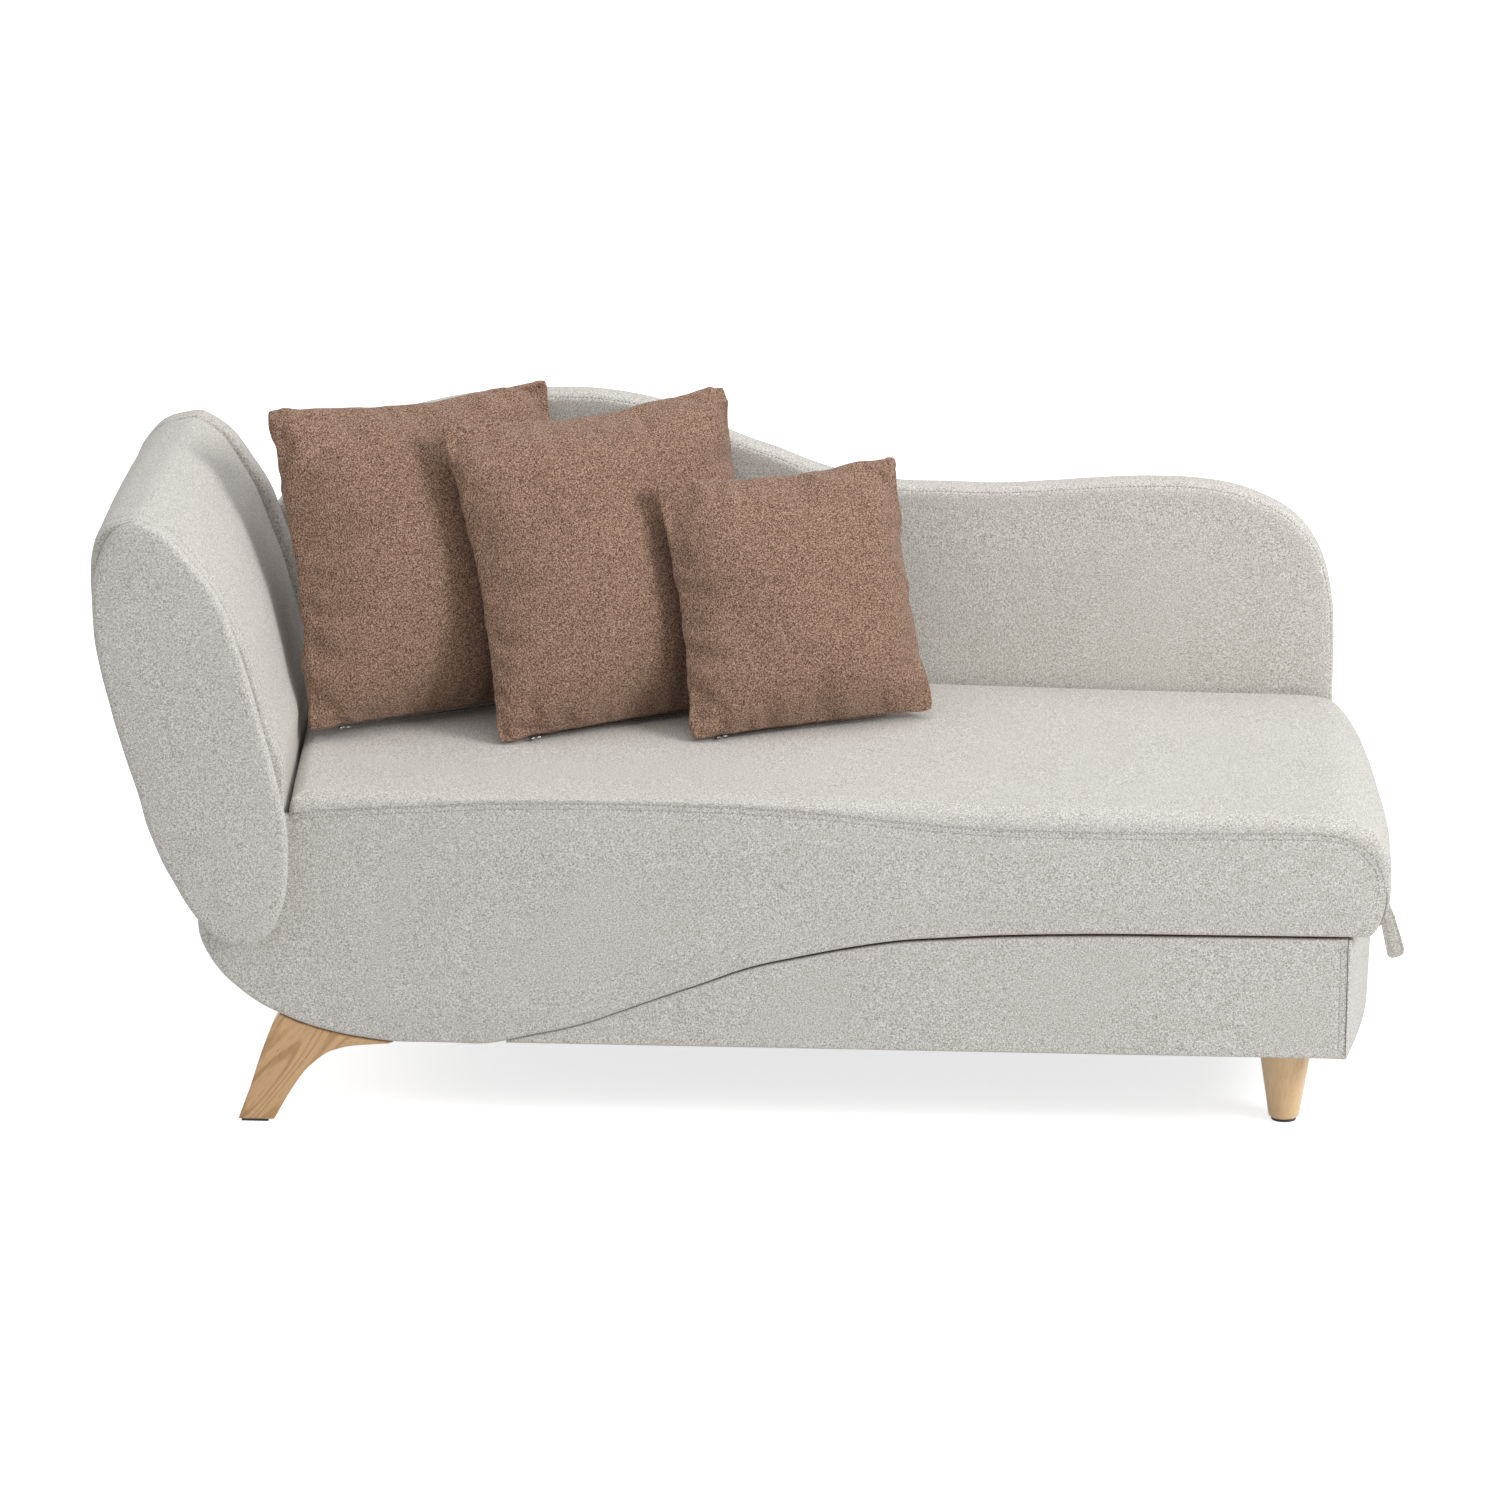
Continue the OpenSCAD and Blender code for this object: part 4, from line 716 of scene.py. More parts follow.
@dataclass(frozen=True)
class Finish:
    """What every finish has: a name and the plain values of its shader."""

    name: str
    specular: float = 0.35
    sheen: float = 0.0
    metallic: float = 0.0
    coat: float = 0.0
    bump: float = 0.3
    bump_height: float = 0.0004

    def make(self, effects: Effects) -> bpy.types.Material:
        """Makes the material.

        Args:
            effects: the shared shader groups.

        Returns:
            The material.
        """
        shading = Shading(self.name, {"Specular IOR Level": self.specular, "Sheen Weight": self.sheen,
                                      "Sheen Roughness": 0.5, "Metallic": self.metallic,
                                      "Coat Weight": self.coat})
        self.shade(shading, shading.add("ShaderNodeTexCoord").outputs["Object"], effects)
        return shading.material

    def shade(self, shading: Shading, place: Socket, effects: Effects) -> None:
        """Shades the material; each kind of finish has its own way.

        Args:
            shading: the material's nodes.
            place: the object coordinates.
            effects: the shared shader groups.
        """
        raise NotImplementedError(self.name)

    def use(self, group: bpy.types.NodeTree, shading: Shading, place: Socket,
            values: dict[str, Colour | float]) -> Socket:
        """Places an effect group and leads its colour, roughness and height into the shader.

        Args:
            group: the shared effect.
            shading: the material's nodes.
            place: the coordinates that it works in.
            values: values of its inputs.

        Returns:
            The effect's colour.
        """
        effect = shading.add("ShaderNodeGroup", node_tree=group)
        shading.tree.links.new(place, effect.inputs["Place"])
        for key, value in values.items():
            effect.inputs[key].default_value = rgba(value) if isinstance(value, tuple) else value
        shading.lead(Base_Color=effect.outputs["Colour"], Roughness=effect.outputs["Rough"])
        shading.roughen(effect.outputs["Height"], self.bump, self.bump_height)
        return effect.outputs["Colour"]


@dataclass(frozen=True)
class ClothFinish(Finish):
    """Woven cloth in three shades."""

    middle: Colour = (0.5, 0.5, 0.5)
    dark: Colour = (0.2, 0.2, 0.2)
    light: Colour = (0.8, 0.8, 0.8)
    threads: float = 900.0
    fleck: float = 1.0
    slub: float = 1.0

    def shade(self, shading: Shading, place: Socket, effects: Effects) -> None:
        """Shades the cloth with its weave."""
        self.use(effects.weave, shading, place,
                 {"Middle": self.middle, "Dark": self.dark, "Light": self.light,
                  "Threads": self.threads, "Fleck": self.fleck, "Slub": self.slub})


@dataclass(frozen=True)
class WoodFinish(Finish):
    """Timber with its grain along a chosen direction."""

    light: Colour = (0.7, 0.5, 0.3)
    dark: Colour = (0.4, 0.25, 0.12)
    lines: float = 9.0
    contrast: float = 0.6
    pores: float = 0.5
    turn: tuple[float, float, float] = (0.0, 0.0, 0.0)

    def shade(self, shading: Shading, place: Socket, effects: Effects) -> None:
        """Shades the timber with its grain."""
        self.use(effects.grain, shading, shading.turn(place, self.turn),
                 {"Light": self.light, "Dark": self.dark, "Lines": self.lines,
                  "Contrast": self.contrast, "Pores": self.pores})


class Across(Enum):
    """The axis across a board, along which its layers lie."""

    X = 0
    Y = 1
    Z = 2


@dataclass(frozen=True)
class PlyFinish(Finish):
    """Birch plywood, whose layers show on the edges of a board."""

    across: Across = Across.Z
    low: float = 0.0
    thickness: float = 0.018
    pair_of_layers: float = 0.0032
    light: Colour = (0.66, 0.49, 0.29)
    dark: Colour = (0.50, 0.33, 0.17)
    end_grain: Colour = (0.24, 0.13, 0.06)

    def shade(self, shading: Shading, place: Socket, effects: Effects) -> None:
        """Shades the faces with grain and the edges with layers.

        Args:
            shading: the material's nodes.
            place: the object coordinates.
            effects: the shared shader groups.
        """
        turned = shading.turn(place, (0, 90, 0) if self.across is Across.X else (0, 0, 0))
        face = self.use(effects.grain, shading, turned, {"Light": self.light, "Dark": self.dark,
                                                         "Lines": 5.0, "Contrast": 0.35, "Pores": 0.2})
        depth = shading.add("ShaderNodeSeparateXYZ", {0: place}).outputs[self.across.value]
        layers = 2 * max(2, round(self.thickness / self.pair_of_layers))
        phase = shading.times(shading.plus(depth, -self.low), math.pi * layers / self.thickness)
        stripe = shading.between(shading.math("COSINE", phase), -0.9, 0.3, 0.55, 0.0)
        shading.lead(Base_Color=shading.mix(stripe, face, rgba(self.end_grain)))


@dataclass(frozen=True)
class HardFinish(Finish):
    """Metal, paint, plastic or rubber with slight wear."""

    clean: Colour = (0.5, 0.5, 0.5)
    worn: Colour = (0.6, 0.6, 0.6)
    size: float = 60.0
    smooth: float = 0.3
    spread: float = 0.2

    def shade(self, shading: Shading, place: Socket, effects: Effects) -> None:
        """Shades the surface with its wear."""
        self.use(effects.wear, shading, place,
                 {"Clean": self.clean, "Worn": self.worn, "Size": self.size,
                  "Smooth": self.smooth, "Spread": self.spread})


@dataclass(frozen=True)
class FoamFinish(Finish):
    """Cut foam with open cells."""

    pale: Colour = (0.86, 0.80, 0.55)
    deep: Colour = (0.62, 0.52, 0.28)

    def shade(self, shading: Shading, place: Socket, effects: Effects) -> None:
        """Shades the foam with its cells.

        Args:
            shading: the material's nodes.
            place: the object coordinates.
            effects: the shared shader groups, of which foam needs none.
        """
        cells = shading.add("ShaderNodeTexVoronoi", {"Vector": place, "Scale": 520.0}).outputs["Distance"]
        hollow = shading.times(shading.between(cells, 0.15, 0.7, 0.0, 0.8), shading.cloud(place, 12.0, 3.0))
        shading.lead(Base_Color=shading.mix(hollow, rgba(self.pale), rgba(self.deep)),
                     Roughness=shading.between(cells, 0.0, 1.0, 0.8, 1.0))
        shading.roughen(cells, 0.5, 0.0006)


LINEN = ClothFinish("linen_cover", specular=0.18, sheen=0.12, bump=0.35, bump_height=0.0005,
                    middle=(0.615, 0.592, 0.548), dark=(0.33, 0.305, 0.27), light=(0.84, 0.83, 0.80),
                    threads=1050.0, fleck=1.75, slub=0.12)
LINEN_TAPE = ClothFinish("linen_tape", specular=0.18, sheen=0.1, bump=0.45, bump_height=0.0006,
                         middle=(0.58, 0.555, 0.51), dark=(0.33, 0.305, 0.27), light=(0.78, 0.77, 0.74),
                         threads=1050.0, fleck=1.3, slub=0.12)
COCOA = ClothFinish("cushion_cloth", specular=0.15, sheen=0.15, bump=0.45, bump_height=0.0006,
                    middle=(0.262, 0.153, 0.103), dark=(0.085, 0.05, 0.037), light=(0.50, 0.345, 0.26),
                    threads=950.0, fleck=2.0, slub=0.2)
# The thread is really the cloth's beige; its dark grey here is painted shade, standing for the shadow in the
# stitch holes.
THREAD_WITH_PAINTED_SHADE = ClothFinish("seam_thread_painted_shade", specular=0.3, bump=0.2, middle=(0.30, 0.28, 0.25),
                     dark=(0.2, 0.185, 0.165), light=(0.42, 0.40, 0.37), threads=1500.0)
ZIP_CLOTH = ClothFinish("zip_tape_cloth", specular=0.2, bump=0.3, middle=(0.10, 0.065, 0.048),
                        dark=(0.05, 0.032, 0.025), light=(0.17, 0.12, 0.09), threads=1300.0)
LINER = ClothFinish("liner_cloth", specular=0.2, bump=0.4, middle=(0.03, 0.03, 0.034),
                    dark=(0.012, 0.012, 0.014), light=(0.07, 0.07, 0.075), threads=420.0)
OAK = WoodFinish("oiled_oak", specular=0.4, coat=0.12, bump=0.2, light=(0.66, 0.42, 0.215),
                 dark=(0.40, 0.215, 0.092), lines=20.0, contrast=0.55, pores=0.5, turn=(0, 52, 0))
BEECH = WoodFinish("oiled_beech", specular=0.4, coat=0.15, bump=0.12, light=(0.84, 0.60, 0.35),
                   dark=(0.64, 0.41, 0.215), lines=4.0, contrast=0.3, pores=0.4, turn=(0, 90, 0))
STEEL = HardFinish("zinc_steel", specular=0.5, metallic=1.0, bump=0.1, clean=(0.56, 0.57, 0.58),
                   worn=(0.40, 0.40, 0.41), size=45.0, smooth=0.28, spread=0.25)
BLACK_PAINT = HardFinish("black_paint", specular=0.5, bump=0.12, clean=(0.02, 0.02, 0.022),
                         worn=(0.05, 0.05, 0.052), size=60.0, smooth=0.28, spread=0.2)
BLACK_PLASTIC = HardFinish("black_plastic", specular=0.45, bump=0.3, clean=(0.02, 0.02, 0.022),
                           worn=(0.06, 0.06, 0.062), size=80.0, smooth=0.45, spread=0.2)
RUBBER = HardFinish("bumper_rubber", specular=0.3, bump=0.3, clean=(0.03, 0.03, 0.03),
                    worn=(0.07, 0.07, 0.07), size=90.0, smooth=0.7, spread=0.15)
ZIP_METAL = HardFinish("zip_metal", specular=0.5, metallic=1.0, bump=0.05, clean=(0.34, 0.34, 0.35),
                       worn=(0.18, 0.18, 0.19), size=300.0, smooth=0.25, spread=0.2)
FOAM = FoamFinish("seat_foam_cells", specular=0.2)


class Wardrobe:
    """Makes each finish once and hands out its material."""

    def __init__(self) -> None:
        """Builds the shared effects."""
        self.effects = Effects()
        self.made: dict[str, bpy.types.Material] = {}

    def of(self, finish: Finish) -> bpy.types.Material:
        """Gives the material of a finish, made at its first use."""
        if finish.name not in self.made:
            self.made[finish.name] = finish.make(self.effects)
        return self.made[finish.name]

    def dress(self, piece: bpy.types.Object, finish: Finish, body: str) -> bpy.types.Object:
        """Gives a piece its finish and the body it rides on.

        Args:
            piece: the new piece.
            finish: its finish.
            body: the CAD body that it moves with.

        Returns:
            The same piece.
        """
        piece.data.materials.clear()
        piece.data.materials.append(self.of(finish))
        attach(piece, body)
        log.info("%s rides on %s with %d points", piece.name, body, len(piece.data.vertices))
        return piece

    def pad(self, skin: Skin, name: str, node: str, body: str) -> None:
        """Dresses an upholstered cover.

        Args:
            skin: its points and faces.
            name: its name.
            node: the CAD node that it stands for.
            body: the CAD body that it moves with.
        """
        piece = self.dress(skin.piece(name), LINEN, body)
        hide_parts(node)

    def sew(self, row: bpy.types.Object, body: str) -> None:
        """Dresses sewn rows in thread coloured darker than its real beige, as painted shade in the stitch
        holes.
        """
        self.dress(row, THREAD_WITH_PAINTED_SHADE, body)


@dataclass
class StitchRow:
    """A row of sewn stitches, each a small bead of thread sunk into the cloth."""

    name: str
    length: float = 3.3
    pitch: float = 5.0
    width: float = 0.95
    height: float = 0.55

    def build(self, runs: Sequence[tuple[np.ndarray, np.ndarray]]) -> bpy.types.Object:
        """Sews stitches along lines.

        Args:
            runs: for each line, its points and the directions in which the cloth faces there.

        Returns:
            One object with all the stitches.
        """
        skin = Skin()
        for path, out in runs:
            run = run_along(path)
            for mark in np.arange(self.pitch / 2, run[-1] - self.length / 2, self.pitch):
                ends = [np.array([np.interp(mark + s, run, path[:, k]) for k in range(3)])
                        for s in (-self.length / 2, self.length / 2)]
                up = np.array([np.interp(mark, run, out[:, k]) for k in range(3)])
                self.bead(skin, ends[0], ends[1], up)
        return skin.piece(self.name)

    def bead(self, skin: Skin, start: np.ndarray, end: np.ndarray, up: np.ndarray) -> None:
        """Adds one stitch.

        Args:
            skin: where it is added.
            start: its first end.
            end: its other end.
            up: the direction in which the cloth faces.
        """
        along = end - start
        along /= np.linalg.norm(along)
        up = up - (up @ along) * along
        up /= max(np.linalg.norm(up), 1e-9)
        side = np.cross(along, up)
        rows = []
        for t, scale in ((0.06, 0.45), (0.3, 1.0), (0.7, 1.0), (0.94, 0.45)):
            centre = start + (end - start) * t
            rows.append(np.array([centre + side * math.cos(a) * self.width / 2 * scale
                                  + up * math.sin(a) * self.height * scale
                                  for a in np.linspace(0, 2 * math.pi, 6, endpoint=False)]))
        ids = skin.rings(rows)
        skin.faces.append(tuple(ids[0]))
        skin.faces.append(tuple(ids[-1][::-1]))


def ring_distances(radius: float, extra: Sequence[float] = ()) -> list[float]:
    """Gives the distances from an edge at which a rounded panel needs rings.

    Args:
        radius: radius of the rounding.
        extra: further distances, such as those round a seam.

    Returns:
        The distances in rising order.
    """
    turns = [radius * (1 - math.cos(math.radians(a))) for a in (18, 33, 47, 60, 73, 88)]
    grow = list(accumulate((3.5, 5, 6.5, 8), initial=radius))[1:]
    out: list[float] = []
    for d in sorted([*turns, *extra, *grow]):
        if d > 0.2 and (not out or d - out[-1] > 0.45):
            out.append(d)
    return out


@dataclass
class SeatLid:
    """The lid's seat cover, its wavy front skirt, the sewn rows between them and the pull strap."""

    front_y: float = -300.0
    rear_y: float = 245.0
    lid_top: float = 286.0
    skirt_back_y: float = -292.0
    skirt_radius: float = 5.0
    seam_radius: float = 1.6
    crown: float = 2.0
    near_row: float = 1.5
    far_row: float = 8.2
    skirt_swell: float = 3.0
    corner_fold: float = 1.6
    strap_y: float = -100.0
    strap_half: float = 2.0
    strap_rows_at: tuple[float, float] = (2.6, 5.6)
    # Drawn X, Y, shift to the top rim in X and Y, belly height, shift to the bottom rim, its height, and
    # how far the place belongs to the front
    stations: tuple[tuple[float, ...], ...] = (
        (-558, -300, 19, 32, 404, 0, 23.3, 286.3, 1),
        (-530, -300, 0, 32, 408, 0, 23.3, 286.3, 1),
        (0, -300, 0, 32, 410, 0, 23.3, 286.3, 1),
        (560, -300, 0, 32, 400, 0, 23.3, 286.3, 1),
        (650, -300, -6, 32, 402, 0, 23.3, 286.3, 1),
        (715, -300, -27, 32, 400, 0, 23.3, 286.3, 1),
        (748, -300, -50, 31, 380, 0, 23.3, 286.3, 1),
        (771, -299, -71, 28, 364, -9, 22, 286.3, 1),
        (776, -292, -76, 23, 352, -22, 14, 272, 0),
        (777, -272, -77.5, 14, 343, -29.5, 6, 268, 0),
        (778.5, -240, -79.5, 6, 338, -32.5, 2, 268, 0),
        (779, -185, -80, 0, 338, -33, 0, 268, 0),
        (779.5, -130, -81, -2, 338, -33.5, 0, 268, 0),
        (777.5, -75, -80, -5, 340, -31.5, 0, 268, 0),
        (773, -17, -76, -9, 344, -27, 0, 268, 0),
        (767, 62, -67, -13, 350, -20.5, 0, 268, 0),
        (757, 140, -53, -17, 362, -13, 0, 272, 0),
        (741, 200, -35, -18, 380, -5, -1, 284, 0),
        (722, 234, -18, -17, 397, -3, -2, 286.3, 0),
        (690, 244, -5, -15, 404, 0, -3, 286.3, 0),
        (660, 245, 0, -14, 405, 0, -3, 286.3, 0),
        (300, 245, 0, -14, 409, 0, -3, 286.3, 0),
        (-300, 245, 0, -14, 413, 0, -3, 286.3, 0),
        (-588, 245, 12, -14, 405, 3, -3, 286.3, 0),
        (-596, 239, 23, -8, 399, 3, 0, 286.3, 0),
        (-593.6, 190, 24, 0, 397, 3, 0, 286.3, 0),
        (-580.6, -20, 24, 0, 397, 3, 0, 286.3, 0),
        (-565.2, -262, 24, 2, 397, 3, 2, 286.3, 0),
        (-562.6, -293, 22, 15, 399, 3, 11, 286.3, 0.6))

    def sampled(self, step: float = 6.0) -> np.ndarray:
        """Reads the stations at even steps round the closed outline.

        Args:
            step: length of the steps.

        Returns:
            One row a step: the nine columns of the stations in the part's frame.
        """
        rows = np.array(self.stations, float)
        rows[:, 0] -= MIDDLE_X
        loop = np.vstack([rows[-2:], rows, rows[:3]])
        run = run_along(loop[:, :2])
        count = round((run[len(rows) + 2] - run[2]) / step)
        marks = np.linspace(run[2], run[len(rows) + 2], count, endpoint=False)
        return np.stack([Profile(list(zip(run, loop[:, k])))(marks) for k in range(loop.shape[1])], axis=1)

    def top_height(self, x: np.ndarray, y: np.ndarray) -> np.ndarray:
        """Gives the height of the seat's top.

        Args:
            x: places in X, in the part's frame.
            y: places in Y.

        Returns:
            The heights.
        """
        share = np.clip((y - self.front_y - 32) / (self.rear_y - self.front_y - 46), 0, 1)
        level = Profile(SEAT_TOP)(np.maximum(x + MIDDLE_X, -537))
        return level + self.crown * (1 - (2 * share - 1) ** 2)

    def seat(self) -> Skin:
        """Builds the seat cover: a crowned top with rolled edges, wrapped under at the foot end.

        Returns:
            The skin.
        """
        s = self.sampled()
        x, front = s[:, 0], np.clip(s[:, 8], 0, 1)
        seam = Profile(SEAM)(x + MIDDLE_X)
        rim = s[:, :2] + s[:, 2:4]
        top = self.top_height(rim[:, 0], rim[:, 1])
        drawn_edge = np.where(x + MIDDLE_X > 713, Profile(SEAT_EDGE)(x + MIDDLE_X), seam + 3.0)
        edge = np.where(front > 0.5, drawn_edge, s[:, 4])
        edge = self.eased(edge, 3)
        low = np.where(front > 0.5, seam + 0.5, np.minimum(314, edge - 20))
        low = np.where((front <= 0.5) & (x < 600), 294, low)
        low = np.minimum(self.eased(low, 1), edge - 1.0)
        rows = []
        for a in range(90, -1, -9):
            place = s[:, :2] + s[:, 2:4] * (1 - math.cos(math.radians(a)))
            rows.append(np.column_stack([place, edge + (top - edge) * math.sin(math.radians(a))]))
        for t in (0.35, 0.7):
            rows.append(np.column_stack([s[:, :2], edge + (low - edge) * t]))
        rows.append(np.column_stack([s[:, :2], low]))
        shift, bottom = s[:, 5:7], s[:, 7]
        steps = ((0.04, 0.9, 0.05, 0.24), (0.12, 1.3, 0.14, 0.48), (0.3, 1.6, 0.27, 0.66),
                 (0.7, 1.9, 0.42, 0.80), (1.0, 2.2, 0.66, 0.94), (1.0, None, 1.0, 1.0))
        for f_in, f_drop, e_in, e_drop in steps:
            share = front * f_in + (1 - front) * e_in
            z_front = bottom if f_drop is None else low - f_drop
            z_end = low + (bottom - low) * e_drop
            rows.append(np.column_stack([s[:, :2] + shift * share[:, None],
                                         front * z_front + (1 - front) * z_end]))
        inner = s[:, :2] + shift + inward_normals(s[:, :2]) * 0.6
        rows.append(np.column_stack([inner, np.full(len(s), self.lid_top + 0.35)]))
        skin = Skin()
        ids = skin.rings(rows)
        skin.fill(ids[0], (0, 1), lambda p, d: self.top_height(p[:, 0], p[:, 1]) + relief(p, 170, 0.9, 3.1)
                  * np.clip(d / 60, 0, 1), (5, 11, 18), 12.0)
        skin.fill_level(ids[-1], (0, 1), self.lid_top + 0.35, 40.0)
        self.tuck(skin)
        return skin

    def eased(self, values: np.ndarray, passes: int) -> np.ndarray:
        """Evens out a closed row of values with its neighbours, the given number of times."""
        for _ in range(passes):
            values = (np.roll(values, 1) + 2 * values + np.roll(values, -1)) / 4
        return values

    def tuck(self, skin: Skin) -> None:
        """Presses the small folds into the seat's head end, where the cover is pulled under the backrest."""
        for y, reach, depth, lean in (
                (-292, 34, 1.5, 14), (-284, 26, 1.2, -4), (-262, 42, 1.3, 10), (-236, 30, 1.0, 2),
                (-196, 38, 0.9, -8), (-140, 30, 0.8, 6), (-78, 34, 0.8, -5), (-10, 28, 0.7, 4)):
            left = -556 - 35 * (y + 300) / 545
            skin.crease((left, y, 420), (left + reach, y + lean, 428), (0, 0, -depth), 4.5)
        skin.crease((-560, -298, 422), (-536, -300, 404), (0.5, 1.9, -0.4), 3.4)
        skin.crease((-560, -299, 411), (-528, -300, 408), (0, 1.6, 0), 3.2)
        skin.crease((-556, -292, 425), (-520, -290, 427), (0, 0.8, -1.2), 4.0)

    def skirt_outline(self) -> np.ndarray:
        """Gives the outline of the skirt, from the head end's curve over the wave to the seam."""
        bottom = np.vstack([shifted(BASE_CURVE), shifted([(-380, 109)]), shifted(WAVE)])
        end = shifted([*SKIRT_END, (770.2, 320)])
        head = shifted([(-590, 397), (-590, 330), (-590, 264)])
        return outline([bottom, end, shifted(SEAM)[::-1], head, shifted([(-590, 262), (-678, 262)])], 4.0)

    def skirt_face(self, p: np.ndarray, d: np.ndarray) -> np.ndarray:
        """Gives the depth of the skirt's front face.

        Args:
            p: places in X and Z.
            d: their distances from the skirt's edge.

        Returns:
            The places in Y.
        """
        drawn = p[:, 0] + MIDDLE_X
        under_seam = Profile(SEAM)(drawn) - p[:, 1]
        near = np.clip(1 - (under_seam - 8) / 14, 0, 1) * (drawn > -548) * (drawn < 762)
        side = np.clip((drawn - 758) / 6, 0, 1) * (p[:, 1] > 300)
        near = np.maximum(near, side)
        radius = self.skirt_radius + (self.seam_radius - self.skirt_radius) * near
        swell = self.skirt_swell * np.clip((drawn + 540) / 220, 0, 1) * (1 - np.exp(-(d / 30) ** 2))
        sewn = dip(under_seam, self.far_row, 0.5, 1.5) * near
        fold = np.exp(-((drawn + 562 - 0.12 * under_seam) / 3.2) ** 2) * np.clip(1 - under_seam / 42, 0, 1)
        face = self.front_y + round_over(d, radius) - swell + sewn
        face = face + self.corner_fold * fold * (p[:, 1] > 300)
        return face - relief(p, 150, 0.8, 7.7) * np.clip(d / 40, 0, 1)

    def skirt(self) -> Skin:
        """Builds the padded skirt.

        Returns:
            The skin.
        """
        edge = self.skirt_outline()
        front = self.skirt_face(edge, np.zeros(len(edge)))
        skin = Skin()
        rows = [upright(edge, front + (self.skirt_back_y - front) * t) for t in (0, 0.5, 1)]
        ids = skin.rings(rows)
        distances = ring_distances(self.skirt_radius, (6.8, self.far_row, 9.6, 11.5))
        skin.fill(ids[0], (0, 2), self.skirt_face, distances, 11.0)
        skin.fill_level(ids[-1], (0, 2), self.skirt_back_y, 40.0)
        return skin

    def seam_rows(self) -> bpy.types.Object:
        """Sews the two rows that follow the seam between seat and skirt round to its foot end."""
        line = smooth_run(shifted(SEAM), 3.0)
        along = along_line(line)
        inward = np.stack([along[:, 1], -along[:, 0]], axis=1)
        runs = []
        for gap, lift in ((self.near_row, 0.7), (self.far_row, 0.05)):
            row = (line + inward * gap)[2:-1]
            path = upright(row, self.skirt_face(row, np.full(len(row), gap)))
            out = upright(inward[2:-1] * -lift, -1.0)
            runs.append((path, out / np.linalg.norm(out, axis=1, keepdims=True)))
        return StitchRow("skirt_stitches").build(runs)

    def strap(self) -> Skin:
        """Builds the pull strap: a folded webbing loop with its two layers and a rounded end.

        Returns:
            The skin.
        """
        edge = outline([shifted([(763.6, 270.6), (773.4, 283.0)]),
                        shifted([(773.4, 283.0), (777.4, 266), (784.6, 245), (795.5, 215), (803.4, 189)]),
                        shifted([(803.4, 189), (802.4, 182), (797, 178.2), (787, 176.2), (782.6, 179)]),
                        shifted([(782.6, 179), (777, 204), (772.4, 225), (764.4, 255), (763.6, 270.6)])], 2.0)
        normals = inward_normals(edge)
        skin = Skin()
        rows = []
        for y, inset in ((-2.0, 0.9), (-1.9, 0.35), (-1.5, 0.05), (-0.9, 0.1), (-0.3, 1.0),
                         (0.3, 1.0), (0.9, 0.1), (1.5, 0.05), (1.9, 0.35), (2.0, 0.9)):
            rows.append(upright(edge + normals * inset, self.strap_y + y))
        ids = skin.rings(rows)

        def face(side: float) -> Depth:
            """Gives the depth of one side of the strap, pressed in where it is sewn."""
            outer, inner = self.strap_rows_at
            return lambda p, d: self.strap_y + side * (self.strap_half - dip(d, outer, 0.35, 0.8)
                                                       - dip(d, inner, 0.3, 0.8))
        for ring, side in ((ids[0], -1), (ids[-1], 1)):
            skin.fill(ring, (0, 2), face(side), (0.8, 1.8, 2.6, 3.4, 4.6, 5.6, 6.6), 2.6)
        return skin

    def strap_rows(self) -> bpy.types.Object:
        """Sews the two rows down the strap on both of its faces."""
        left = smooth_run(shifted([(766, 262), (773.6, 225), (778.4, 204), (783.8, 181)]), 2.0)
        runs = []
        for gap in (2.0, 5.0, 17.5):
            for side in (-1.0, 1.0):
                row = left + np.array([0.97, 0.24]) * gap
                if gap > 10:
                    row = row[len(row) // 4:]
                facing = np.tile([0.0, side, 0.0], (len(row), 1))
                runs.append((upright(row, self.strap_y + side * 1.85), facing))
        return StitchRow("strap_stitches", length=2.3, pitch=3.4, width=0.7, height=0.45).build(runs)

    def build(self, wardrobe: Wardrobe) -> None:
        """Builds and dresses the lid's pieces.

        Args:
            wardrobe: gives the finishes.
        """
        wardrobe.pad(self.seat(), "seat_cover", "seat_pad", "lid")
        wardrobe.pad(self.skirt(), "skirt_cover", "skirt_pad", "lid")
        wardrobe.sew(self.seam_rows(), "lid")
        strap = wardrobe.dress(self.strap().piece("pull_tab"), LINEN_TAPE, "strap")
        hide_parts("pull_strap")
        wardrobe.sew(self.strap_rows(), "strap")


